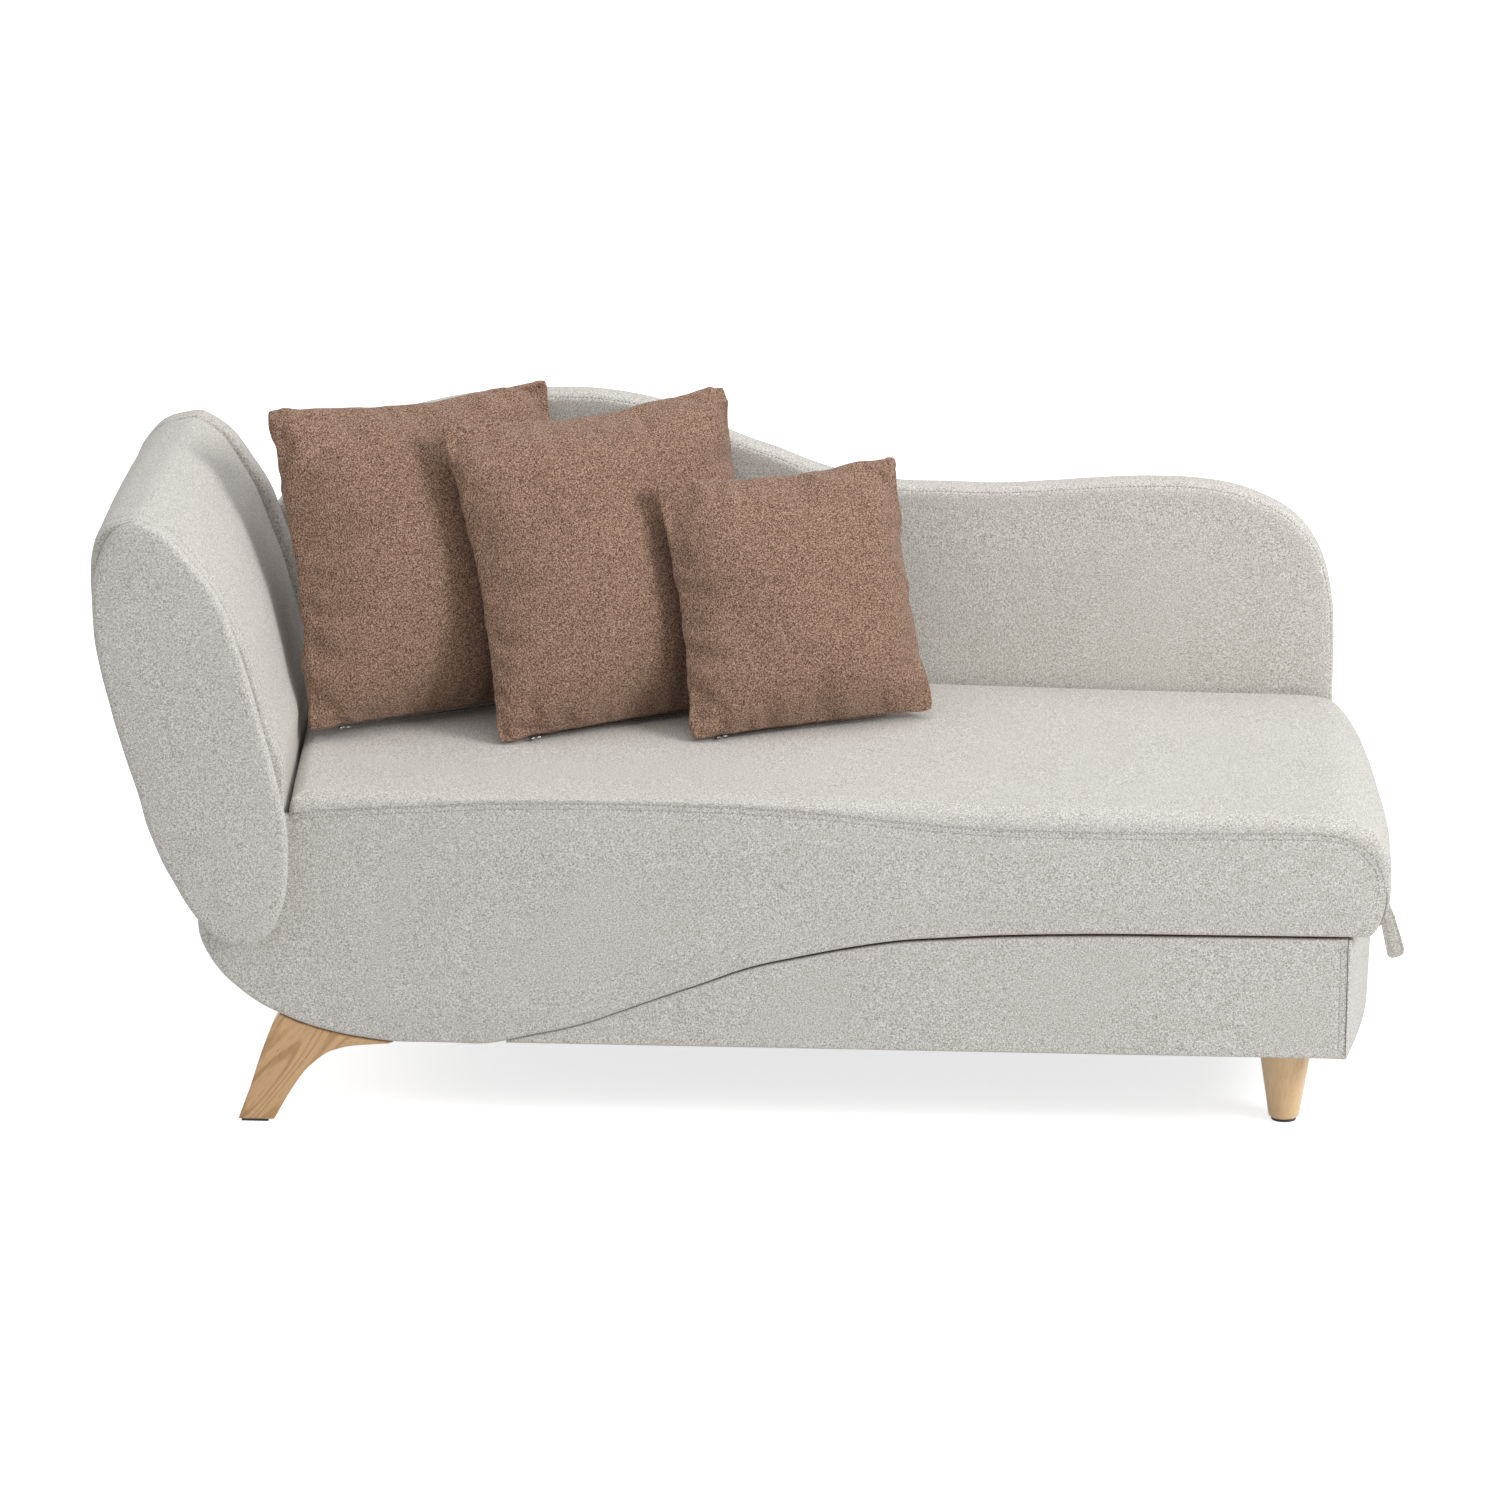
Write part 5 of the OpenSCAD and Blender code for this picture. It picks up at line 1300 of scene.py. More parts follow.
@dataclass
class HeadEnd:
    """The curved head end: a padded backrest between a front and a rear leaf."""

    leaf_front_y: float = -345.0
    leaf_back_y: float = -302.0
    backrest_front_y: float = -301.7
    backrest_rear_y: float = 204.7
    rear_leaf_front_y: float = 205.0
    rear_leaf_back_y: float = 246.0
    leaf_radius: float = 7.5
    contact_y: float = -321.2
    band_y: float = -320.0
    seam_y: float = -286.0
    low: float = 264.3
    high: float = 771.0
    leaf_rise: float = 2.0
    dome: float = 3.2
    # In front of this depth and below this height, the backrest's right side stays left of this X
    pinch_y: float = -291.3
    pinch_z: float = 412.0
    pinch_x: float = -592.5

    def leaf_outline(self, step: float = 4.0) -> np.ndarray:
        """Gives the closed outline of the leaf, in X and Z."""
        left, right = shifted(LEAF_LEFT, True), shifted(LEAF_RIGHT, True)
        top = (left[-1] + right[-1]) / 2 + [0, 0.9]
        foot = (left[0] + right[0]) / 2 - [0, 1.1]
        loop = np.vstack([foot, right, top, left[::-1], foot])
        return outline([loop], step)

    def leaf_face(self, p: np.ndarray, d: np.ndarray) -> np.ndarray:
        """Gives the depth of the leaf's domed front."""
        dome = self.dome * (1 - np.exp(-np.maximum(d - 5, 0) / 40))
        face = self.leaf_front_y + 2.6 + round_over(d, self.leaf_radius) - dome
        return face - relief(p, 130, 1.0, 1.9) * np.clip(d / 50, 0, 1)

    def leaf(self) -> Skin:
        """Builds the front leaf: a rounded rim that curls in to the band behind it, and its hidden core.

        Returns:
            The skin.
        """
        edge = self.leaf_outline()
        normals = inward_normals(edge)
        front = self.leaf_face(edge, np.zeros(len(edge)))
        skin = Skin()
        rows = [upright(edge, front)]
        for back, inset in ((-331.5, 0.0), (-328.6, 0.3), (-326.0, 1.2), (-323.8, 2.7), (-322.2, 4.6)):
            rows.append(upright(edge + normals * inset, back))
        core = 5.4 + 5.0 * np.clip((edge[:, 1] - 290) / 30, 0, 1)
        for back, more in ((self.contact_y, 0.0), (-303.5, 0.0), (self.leaf_back_y, 2.0)):
            rows.append(upright(edge + normals * (core + more)[:, None], back))
        ids = skin.rings(rows)
        skin.fill(ids[0], (0, 2), self.leaf_face, ring_distances(self.leaf_radius), 10.0)
        skin.fill_level(ids[-1], (0, 2), self.leaf_back_y, 30.0)
        return skin

    def section(self, y: float, inset: float = 0.0, proud: float = 0.0, left_share: float = 1.0,
                count: int = 64) -> np.ndarray:
        """Gives one upright section of the backrest or of the rear leaf at a depth.

        Args:
            y: where it is cut.
            inset: how far it draws in, at the rounded ends.
            proud: 1 for the rear leaf, which stands out beyond the backrest, and 0 for the backrest.
            left_share: share of the inset that is taken at the left and the top.
            count: how many points each side has.

        Returns:
            The closed section, one row a point, in X, Y and Z.
        """
        share = (y - self.backrest_front_y) / (self.rear_leaf_back_y - self.backrest_front_y)
        drawn = self.low + (self.high - self.low) * (1 - (1 - np.linspace(0, 1, count)) ** 1.5)
        upper = np.clip((drawn - 440) / 60, 0, 1)
        arch = math.sin(math.pi * min(max(share * 1.12, 0), 1))
        left = Profile(PAD_LEFT)(drawn) + Profile(LEFT_SKEW)(drawn) * share - 4.0 * upper * arch
        right = Profile(PAD_RIGHT)(drawn) + Profile(RIGHT_SKEW)(drawn) * share
        right += (1 - proud) * 3.0 * upper * arch * np.clip((760 - drawn) / 40, 0, 1)
        right += proud * (Profile(LEAF_PROUD)(drawn) - 2.5)
        if y < self.pinch_y:
            right = np.where(drawn < self.pinch_z, np.minimum(right, self.pinch_x), right)
        pull = np.minimum(inset, (right - left) * 0.36)
        left, right = left + pull * left_share, right - pull
        z = drawn - inset * left_share * 0.9 * (drawn - self.low) / (self.high - self.low)
        z += proud * self.leaf_rise * np.clip((drawn - 600) / 171, 0, 1)
        up = np.column_stack([left, np.full(count, y), z])
        down = np.column_stack([right, np.full(count, y), z])[::-1]
        rise = np.array([[(2 * left[-1] + right[-1]) / 3, y, z[-1] + 0.9],
                         [(left[-1] + 2 * right[-1]) / 3, y, z[-1] + 0.9]])
        loop = np.vstack([up, rise, down])
        loop[:, 0] -= MIDDLE_X
        return loop

    def backrest(self) -> Skin:
        """Builds the backrest pad, with the band between the leaf and the sewn line behind it.

        Returns:
            The skin.
        """
        rear = self.backrest_rear_y
        band = ((0.0, 6.5), (0.15, 3.6), (0.7, 1.6), (1.8, 0.5), (3.2, 0.1), (5.2, 0.1), (6.2, 0.7),
                (7.2, 0.1), (9.0, 0.0), (14.0, 0.0), (21.0, 0.0), (27.0, 0.0))
        seam = ((-3.4, 0.0), (-1.8, 0.35), (-0.8, 1.1), (0.0, 1.5), (0.8, 1.0), (1.8, 0.1), (3.4, -0.25),
                (8.0, 0.0))
        rows = [self.section(self.band_y + y, inset) for y, inset in band]
        rows += [self.section(self.seam_y + y, inset) for y, inset in seam]
        rows += [self.section(float(y)) for y in np.linspace(self.seam_y + 22, rear - 34, 34)]
        shape = ((0.0, 9.0), (0.4, 6.2), (1.4, 3.8), (3.0, 2.0), (5.0, 0.9), (7.5, 0.25), (10.0, 0.0),
                 (15.0, 0.0), (21.0, 0.0))
        rows += [self.section(rear - y, inset, 0.0, 0.14) for y, inset in reversed(shape)]
        skin = Skin()
        ids = skin.rings(rows)
        skin.fill_level(ids[0], (0, 2), self.band_y, 30.0)
        skin.fill_level(ids[-1], (0, 2), rear, 30.0)
        return skin

    def rear_leaf(self) -> Skin:
        """Builds the leaf behind the backrest, which faces the rear panel.

        Returns:
            The skin.
        """
        a, b = self.rear_leaf_front_y, self.rear_leaf_back_y
        front = [(0.0, 9.0), (0.4, 6.4), (1.4, 3.8), (3.2, 1.8), (5.6, 0.6), (9.0, 0.0), (14.0, 0.0)]
        back = [(0.0, 13.0), (0.5, 9.5), (1.8, 6.2), (4.0, 3.2), (7.0, 1.2), (10.5, 0.2), (14.0, 0.0)]
        rows = [self.section(a + y, inset, 1.0, 0.14) for y, inset in front]
        rows += [self.section(b - y, inset, 1.0) for y, inset in reversed(back)]
        skin = Skin()
        ids = skin.rings(rows)
        skin.fill_level(ids[0], (0, 2), a, 30.0)
        skin.fill_level(ids[-1], (0, 2), b, 30.0)
        return skin

    def seam_rows(self) -> bpy.types.Object:
        """Sews the two rows along both sides of the band behind the leaf."""
        runs = []
        for y in (self.band_y + 6.2, self.seam_y - 2.6):
            loop = self.section(y)
            flat = loop[:, [0, 2]]
            normals = -inward_normals(flat[::-1])[::-1]
            out = upright(normals, 0.0)
            runs.append((loop - out * 0.25, out))
        return StitchRow("backrest_stitches").build(runs)

    def build(self, wardrobe: Wardrobe) -> None:
        """Builds and dresses the head end's pieces.

        Args:
            wardrobe: gives the finishes.
        """
        wardrobe.pad(self.leaf(), "leaf_cover", "front_leaf", "base")
        wardrobe.pad(self.backrest(), "backrest_cover", "backrest_pad", "base")
        wardrobe.pad(self.rear_leaf(), "rear_leaf_cover", "rear_leaf", "base")
        wardrobe.sew(self.seam_rows(), "base")


@dataclass
class RearPanel:
    """The tall rear panel with its domed crest."""

    front_y: float = 250.0
    back_y: float = 345.0
    row_inset: float = 3.6
    row_y: float = 252.9
    # Depth and offset from the crest line of the domed edge, from the front face over to the rear face
    dome: tuple[tuple[float, float], ...] = (
        (250.0, -13), (250.3, -9), (250.9, -6.2), (251.9, -4.4), (253.1, -3.9), (253.7, -2.4), (255.2, -0.6),
        (258, 0.9), (262, 2.0), (268, 3.0), (275, 3.5), (283, 2.8), (290, 1.5), (298, -0.7), (305, -3.0),
        (313, -6.2), (320, -10), (327, -14.6), (333, -20), (338, -26.5), (341, -32), (343.5, -39), (345, -48))
    # The same at the foot, where the cover is pulled flat under the frame
    foot: tuple[tuple[float, float], ...] = (
        (250.0, -6), (250.5, -4), (251.2, -3), (252, -2.2), (253.1, -1.6), (254, -1.0), (256, -0.4),
        (259, 0), (264, 0), (270, 0), (277, 0), (285, 0), (292, 0), (300, 0), (307, 0), (315, 0), (322, 0),
        (329, 0), (335, -0.3), (339, -1.2), (342, -3), (344.2, -6), (345, -10))

    def panel_outline(self) -> np.ndarray:
        """Gives the closed outline of the panel, in X and Z."""
        crest = shifted(REAR_CREST)
        foot = shifted([*REAR_FOOT, (-300, 109), (200, 109), (700, 109), (709, 111), (716, 118), (718, 136),
                        (718, 300), (718, 420)])
        loop = np.vstack([crest[::-1], foot, crest[-1:]])
        return outline([loop], 4.5)

    def weights(self, edge: np.ndarray) -> np.ndarray:
        """Gives how domed the edge is: fully along the crest, not at all at the foot."""
        rise = np.clip((edge[:, 1] - 250) / 150, 0, 1)
        return rise * rise * (3 - 2 * rise)

    def face(self, p: np.ndarray, d: np.ndarray) -> np.ndarray:
        """Gives the depth of the panel's front face."""
        return self.front_y - (1.2 + relief(p, 190, 1.0, 5.3)) * np.clip(d / 90, 0, 1)

    def panel(self) -> Skin:
        """Builds the padded panel.

        Returns:
            The skin.
        """
        edge = self.panel_outline()
        normals = inward_normals(edge)
        w = self.weights(edge)
        rows = []
        facing = np.clip(-1.3 * normals[:, 1], 0, 1)
        for (y0, o0), (y1, o1) in zip(self.dome, self.foot):
            offset = (o0 * facing if o0 > 0 else o0) * w + o1 * (1 - w)
            rows.append(upright(edge - normals * offset[:, None], y0 * w + y1 * (1 - w)))
        skin = Skin()
        ids = skin.rings(rows)
        skin.fill(ids[0], (0, 2), self.face, (6, 13, 22), 13.0)
        skin.fill(ids[-1], (0, 2), lambda p, d: self.back_y + 0.8 * np.clip(d / 90, 0, 1), (8, 18), 20.0)
        return skin

    def seam_row(self) -> bpy.types.Object:
        """Sews the row along the crest of the panel."""
        edge = self.panel_outline()
        w = self.weights(edge)
        normals = inward_normals(edge)
        path = upright(edge + normals * self.row_inset, self.row_y)
        out = upright(normals * -0.5, -0.85)
        keep = np.nonzero(w > 0.75)[0]
        jump = np.nonzero(np.diff(keep) > 1)[0]
        if len(jump):
            keep = np.concatenate([keep[jump[0] + 1:], keep[:jump[0] + 1]])
        return StitchRow("rear_panel_stitches", height=0.6).build([(path[keep], out[keep])])

    def build(self, wardrobe: Wardrobe) -> None:
        """Builds and dresses the rear panel.

        Args:
            wardrobe: gives the finishes.
        """
        wardrobe.pad(self.panel(), "rear_panel_cover", "rear_panel_pad", "base")
        wardrobe.sew(self.seam_row(), "base")


@dataclass
class BaseBox:
    """The covered faces of the storage base: lower front panel, foot end and curved head end."""

    pad_front_y: float = -296.0
    pad_back_y: float = -287.3
    bottom: float = 109.0
    right_x: float = 726.0
    wrap_thickness: float = 12.0
    foot_front_x: float = 726.5
    foot_top_x: float = 730.5
    foot_low_x: float = 728.3
    foot_bow: float = 35.0
    foot_low_bow: float = 33.0
    foot_inner_x: float = 712.3
    foot_round: tuple[float, float] = (6.0, 5.0)
    pad_radius: float = 3.6
    near_row: float = 1.2
    far_row: float = 8.5
    inner_y: float = -274.0
    rear_y: float = 249.7
    # How far below the top edge the foot end's rows lie
    drops: tuple[float, ...] = (0.0, 0.4, 1.6, 4.0, 8.0, 14, 22, 34, 48, 64, 80, 96, 112, 128, 139, 145, 149,
                                151.2, 152.5)

    def lower_outline(self) -> np.ndarray:
        """Gives the outline of the lower front panel, whose top follows the wave of the lid."""
        gap = Profile([(-200, 1.0), (-110, 1.6), (60, 3.4), (244, 4.0)])
        wave = [(x, z - float(gap(x))) for x, z in WAVE if -280 < x < 700]
        top = shifted([(-300, 112.4), *wave, (self.right_x, 263)])
        left = shifted([(-301, self.bottom), (-300, 112.4)])
        right = shifted([(self.right_x, 263), (self.right_x, self.bottom)])
        return outline([top, right, shifted([(self.right_x, self.bottom), (-301, self.bottom)]), left], 4.0)

    def lower_face(self, p: np.ndarray, d: np.ndarray) -> np.ndarray:
        """Gives the depth of the lower panel's front face."""
        right = self.right_x - MIDDLE_X - p[:, 0]
        sewn = dip(right, self.far_row, 0.5, 1.4)
        radius = 1.2 + 2.4 * np.clip((right - 6) / 10, 0, 1)
        face = self.pad_front_y + round_over(d, radius) + sewn
        return face - relief(p, 150, 0.7, 9.2) * np.clip(d / 30, 0, 1)

    def lower_panel(self) -> Skin:
        """Builds the lower front panel.

        Returns:
            The skin.
        """
        edge = self.lower_outline()
        front = self.lower_face(edge, np.zeros(len(edge)))
        skin = Skin()
        ids = skin.rings([upright(edge, y) for y in (front, front + 2, self.pad_back_y)])
        distances = ring_distances(self.pad_radius, (7.2, self.far_row, 9.8))
        skin.fill(ids[0], (0, 2), self.lower_face, distances, 11.0)
        skin.fill_level(ids[-1], (0, 2), self.pad_back_y, 40.0)
        return skin

    def foot_end(self) -> Skin:
        """Builds the foot end's panel, bowed most at its top.

        Returns:
            The skin.
        """
        top, low = 262.0, self.bottom
        y0, y1 = self.pad_front_y, self.rear_y
        tall = top - low
        rows = []
        for across in 1 - np.cos(np.linspace(0, math.pi, 41)) - 1:
            y = y0 + (y1 - y0) * (across + 1) / 2
            bow = 1 - abs(across) ** 1.7
            inner = self.foot_front_x if y < self.inner_y else self.foot_inner_x
            end_edge = 1.2 * max(0, 1 - (1 - abs(across)) / 0.006)
            points = [(inner, top)]
            for drop in (*self.drops, tall):
                share = drop / tall
                base = self.foot_top_x * (1 - share) + self.foot_low_x * share
                out = bow * (self.foot_bow * (1 - share) + self.foot_low_bow * share)
                edge = (float(round_over(np.array(drop), self.foot_round[0]))
                        + float(round_over(np.array(tall - drop), self.foot_round[1])))
                face = base + out - edge * min(1, 0.1 + bow * 4) - end_edge
                points.append((max(face, inner + 0.3), top - drop))
            points.append((inner, low))
            rows.append(np.array([(x - MIDDLE_X, y, z) for x, z in points]))
        skin = Skin()
        skin.rod(rows)
        return skin

    def head_wrap(self) -> Skin:
        """Builds the cover of the base's curved head end.

        Returns:
            The skin.
        """
        line = smooth_run(shifted(BASE_CURVE), 6.0)
        along = along_line(line)
        inward = np.stack([-along[:, 1], along[:, 0]], axis=1)
        inner = line + inward * self.wrap_thickness
        loop = np.vstack([line, inner[::-1]])
        skin = Skin()
        ids = skin.rings([upright(loop, y) for y in np.linspace(self.inner_y, self.rear_y, 24)])
        for ring in (ids[0], ids[-1]):
            half = len(ring) // 2
            a, b = ring[:half], ring[half:][::-1]
            skin.bridge(a, b, closed=False)
        return skin

    def corner_rows(self) -> bpy.types.Object:
        """Sews the upright rows at the box's front corner."""
        runs = []
        z = np.linspace(self.bottom + 5, 258, 40)
        for gap, lean in ((self.near_row, 0.6), (self.far_row, 0.0)):
            p = np.column_stack([np.full(len(z), self.right_x - MIDDLE_X - gap), z])
            path = upright(p, self.lower_face(p, np.full(len(z), gap)))
            runs.append((path, np.tile(np.array([lean, -1.0, 0.0]) / math.hypot(lean, 1), (len(z), 1))))
        return StitchRow("box_corner_stitches").build(runs)

    def build(self, wardrobe: Wardrobe) -> None:
        """Builds and dresses the covers of the base.

        Args:
            wardrobe: gives the finishes.
        """
        wardrobe.pad(self.lower_panel(), "lower_panel_cover", "lower_panel_pad", "base")
        wardrobe.pad(self.foot_end(), "foot_end_cover", "foot_end_panel", "base")
        wardrobe.pad(self.head_wrap(), "head_wrap_cover", "head_end_wrap", "base")
        wardrobe.sew(self.corner_rows(), "base")


def near_seam(rim: float) -> float:
    """Gives how strongly gathers show at a share of the half width from a seam: none on it, most close by."""
    return math.exp(-rim * 3.4) * (1 - math.exp(-rim * 22))


# The cloth simulation that stuffs a cushion
STUFFING: dict[str, float | bool | str] = {
    "quality": 6, "mass": 0.25, "use_pressure": True, "uniform_pressure_force": 5.0, "shrink_min": -0.05,
    "tension_stiffness": 18, "compression_stiffness": 18, "shear_stiffness": 6, "bending_stiffness": 0.35,
    "vertex_group_mass": "seam", "pin_stiffness": 1.0}


@dataclass
class ScatterCushion:
    """A loose cushion: two sheets sewn along a knife edge, stuffed, with a zip in its lower edge."""

    label: str
    body: str
    size: float
    thickness: float
    yaw: float
    lean: float
    roll: float
    seed: float
    draw_in: float = 0.065
    steps: int = 60
    frames: int = 22
    cap: float = 11.0
    plumpness: float = 0.93
    rim_wave: float = 2.6
    zip_flat: float = 0.39
    zip_start: float = -0.76
    zip_end: float = 0.6
    gather: float = 8.0
    dent: float = 9.0
    corner_round: float = 5.0
    pull_half: float = 6.4

    def place(self) -> Matrix:
        """Gives the cushion's place: its CAD solid's centre and its turns."""
        low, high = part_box(f"cushion_{self.body}")
        centre = (Vector(low) + Vector(high)) / 2
        turn = Matrix.Translation(centre)
        for degrees, axis in ((self.yaw, "Z"), (-self.lean, "X"), (-self.roll, "Y")):
            turn = turn @ Matrix.Rotation(math.radians(degrees), 4, axis)
        return turn

    def sheet_point(self, u: float, v: float, side: float) -> tuple[float, float, float]:
        """Gives a point of one of the two sheets before stuffing.

        Args:
            u: place across, from -1 to 1.
            v: place upward, from -1 to 1.
            side: 1 for the front sheet, -1 for the rear one.

        Returns:
            The point in millimetres, in the cushion's own frame.
        """
        half = self.size / 2
        bottom = min(1 - u * u, self.zip_flat) if v < 0 else 1 - u * u
        side_rim, level_rim = 1 - abs(u), 1 - abs(v)
        gathers = (noise.noise(Vector((u * 1.1, v * 6.5, self.seed + side))) * near_seam(side_rim)
                   + noise.noise(Vector((u * 6.5, v * 1.1, self.seed - side))) * near_seam(level_rim))
        dents = (noise.noise(Vector((u * 1.5, v * 1.5, self.seed + 3 * side)))
                 * min(1.0, 4 * side_rim * level_rim))
        body = max(0.0, 1 - u * u) * max(0.0, 1 - v * v)
        rim = min(side_rim, level_rim)
        fill = body ** 0.5 * (0.93 + 0.07 * body)
        wave = 0.0
        if v > -0.999 or abs(u) > 0.9:
            wave = self.rim_wave * noise.noise(Vector((u * 2.3, v * 2.3, self.seed))) * math.exp(-rim * 9)
        inward = 1.0 + 0.022 * noise.noise(Vector((u * 3.6, v * 3.6, self.seed + 9)))
        x = half * u * (1 - self.draw_in * (1 - v * v)) * (inward if abs(v) < 0.9 else 1)
        z = half * v * (1 - self.draw_in * bottom) * (inward if v > 0.5 and abs(u) < 0.9 else 1)
        corner = max(0.0, abs(u) + abs(v) - 1.84) / 0.16
        x -= math.copysign(self.corner_round * corner * corner, u)
        z -= math.copysign(self.corner_round * corner * corner, v)
        plump = self.thickness / 2 * fill * self.plumpness + self.gather * gathers + self.dent * dents
        return x, -side * max(plump, 0.0) + wave, z

    def sheets(self) -> tuple[Skin, list[int]]:
        """Builds the two sheets with one shared rim.

        Returns:
            The skin, and the numbers of the rim's points.
        """
        n = self.steps
        marks = [math.sin(math.radians(-90 + 180 * k / n)) * 0.6 + (-1 + 2 * k / n) * 0.4
                 for k in range(n + 1)]
        skin = Skin()
        number: dict[tuple[int, int, int], int] = {}
        rim: list[int] = []
        for side in (1, -1):
            for i in range(n + 1):
                for j in range(n + 1):
                    at_rim = i in (0, n) or j in (0, n)
                    if at_rim and side < 0:
                        number[i, j, side] = number[i, j, 1]
                        continue
                    skin.points.append(self.sheet_point(marks[i], marks[j], side))
                    number[i, j, side] = len(skin.points) - 1
                    if at_rim:
                        rim.append(len(skin.points) - 1)
        for side in (1, -1):
            for i in range(n):
                for j in range(n):
                    q = [number[k, m, side] for k, m in ((i, j), (i + 1, j), (i + 1, j + 1), (i, j + 1))]
                    skin.faces.append(q if side > 0 else q[::-1])
        return skin, rim

    def stuff(self, piece: bpy.types.Object, rim: Sequence[int]) -> None:
        """Inflates the sewn cover with a cloth simulation, so that its spare cloth folds near the seams.

        Args:
            piece: the cover, changed in place.
            rim: numbers of the points on the seam, which stay where they are.
        """
        scene = bpy.context.scene
        start = np.array([v.co[:] for v in piece.data.vertices])
        group = piece.vertex_groups.new(name="seam")
        group.add(list(rim), 1.0, "REPLACE")
        cloth = piece.modifiers.new("stuffing", "CLOTH")
        for key, value in STUFFING.items():
            setattr(cloth.settings, key, value)
        cloth.settings.effector_weights.gravity = 0.0
        cloth.collision_settings.use_collision = False
        cloth.point_cache.frame_start = 1
        cloth.point_cache.frame_end = self.frames
        for number in range(1, self.frames + 1):
            scene.frame_set(number)
        graph = bpy.context.evaluated_depsgraph_get()
        held = piece.evaluated_get(graph).to_mesh()
        end = np.array([v.co[:] for v in held.vertices])
        piece.evaluated_get(graph).to_mesh_clear()
        piece.modifiers.remove(cloth)
        piece.vertex_groups.remove(group)
        scene.frame_set(1)
        move = end - start
        far = np.linalg.norm(move, axis=1, keepdims=True)
        limit = self.cap * MM
        move *= np.where(far > 1e-9, limit * np.tanh(far / limit) / np.maximum(far, 1e-9), 1.0)
        piece.data.vertices.foreach_set("co", (start + move).ravel())
        piece.data.update()

    def zip_pieces(self) -> tuple[Skin, Skin]:
        """Builds the zip: its tape with teeth, and the slider with its pull.

        Returns:
            The skins of the tape and of the slider.
        """
        half = self.size / 2
        z = -half * (1 - self.draw_in * self.zip_flat) - 0.3
        x0, x1 = self.zip_start * half - 4, self.zip_end * half
        tape = Skin()
        section = ((-2.4, -0.35), (-2.3, -0.05), (-0.9, 0.0), (0.9, 0.0), (2.3, -0.05), (2.4, -0.35),
                   (2.2, -0.6), (0.9, -0.68), (-0.9, -0.68), (-2.2, -0.6))
        tape.rod([np.array([(x, y, z + c) for y, c in section]) for x in np.linspace(x0, x1, 120)])
        for x in np.arange(x0 + 3, x1 - 2, 1.9):
            self.block(tape, (x, 0, z - 0.66), (0.55, 1.25, 0.2), 0.12)
        slider = Skin()
        x = self.zip_start * half
        self.block(slider, (x, 0, z - 1.95), (4.0, 2.3, 0.95), 0.5)
        self.block(slider, (x, 0, z - 3.0), (2.6, 0.8, 0.35), 0.25)
        self.block(slider, (x, -2.2 - self.pull_half, z - 2.35), (1.9, self.pull_half, 0.45), 0.4)
        self.block(slider, (x, -1.4 - 2 * self.pull_half, z - 2.2), (2.6, 2.6, 0.9), 0.6)
        return tape, slider

    def block(self, skin: Skin, centre: Sequence[float], half: Sequence[float], soft: float) -> None:
        """Adds a small cast block with broken edges.

        Args:
            skin: where it is added.
            centre: its centre.
            half: half its size on each axis.
            soft: width of its broken edges.
        """
        hx, hy, hz = half
        rows = []
        c = soft * 0.8
        for dz, inset in ((-hz, soft), (-hz + soft, 0), (hz - soft, 0), (hz, soft)):
            a, b = hx - inset, hy - inset
            loop = [(a, b - c), (a - c, b), (-a + c, b), (-a, b - c),
                    (-a, -b + c), (-a + c, -b), (a - c, -b), (a, -b + c)]
            rows.append(np.array([(centre[0] + p, centre[1] + q, centre[2] + dz) for p, q in loop]))
        ids = skin.rings(rows)
        skin.faces.append(tuple(ids[0][::-1]))
        skin.faces.append(tuple(ids[-1]))

    def build(self, wardrobe: Wardrobe) -> None:
        """Builds, stuffs and dresses the cushion with its zip.

        Args:
            wardrobe: gives the finishes.
        """
        skin, rim = self.sheets()
        cover = skin.piece(f"{self.label}_cover")
        self.stuff(cover, rim)
        finer = cover.modifiers.new("finer", "SUBSURF")
        finer.levels = finer.render_levels = 1
        place = self.place()
        tape, slider = self.zip_pieces()
        for piece, finish, slot, rides_on, node in (
                (cover, COCOA, "cushion_cover", self.body, "cushion"),
                (tape.piece(f"{self.label}_zip", smooth=False), ZIP_CLOTH, "cushion_cover", self.body,
                 "zip_tape"),
                (slider.piece(f"{self.label}_zip_slider", smooth=False), ZIP_METAL, "black_plastic",
                 f"{self.body}_slider", "zip_slider")):
            piece.matrix_world = place
            wardrobe.dress(piece, finish, rides_on)
            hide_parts(f"{node}_{self.body}")


@dataclass
class Legs:
    """Timber legs of one kind, each in place of its CAD node."""

    timber: WoodFinish = OAK
    slot: str = "oak"
    places: tuple[tuple[str, float], ...] = ()

    def leg(self, y: float) -> Skin:
        """Builds one leg at its place in Y."""
        raise NotImplementedError(self.slot)

    def build(self, wardrobe: Wardrobe) -> None:
        """Builds and dresses the legs.

        Args:
            wardrobe: gives the finishes.
        """
        for node, y in self.places:
            piece = wardrobe.dress(self.leg(y).piece(f"{node}_{self.slot}"), self.timber, "base")
            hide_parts(node)


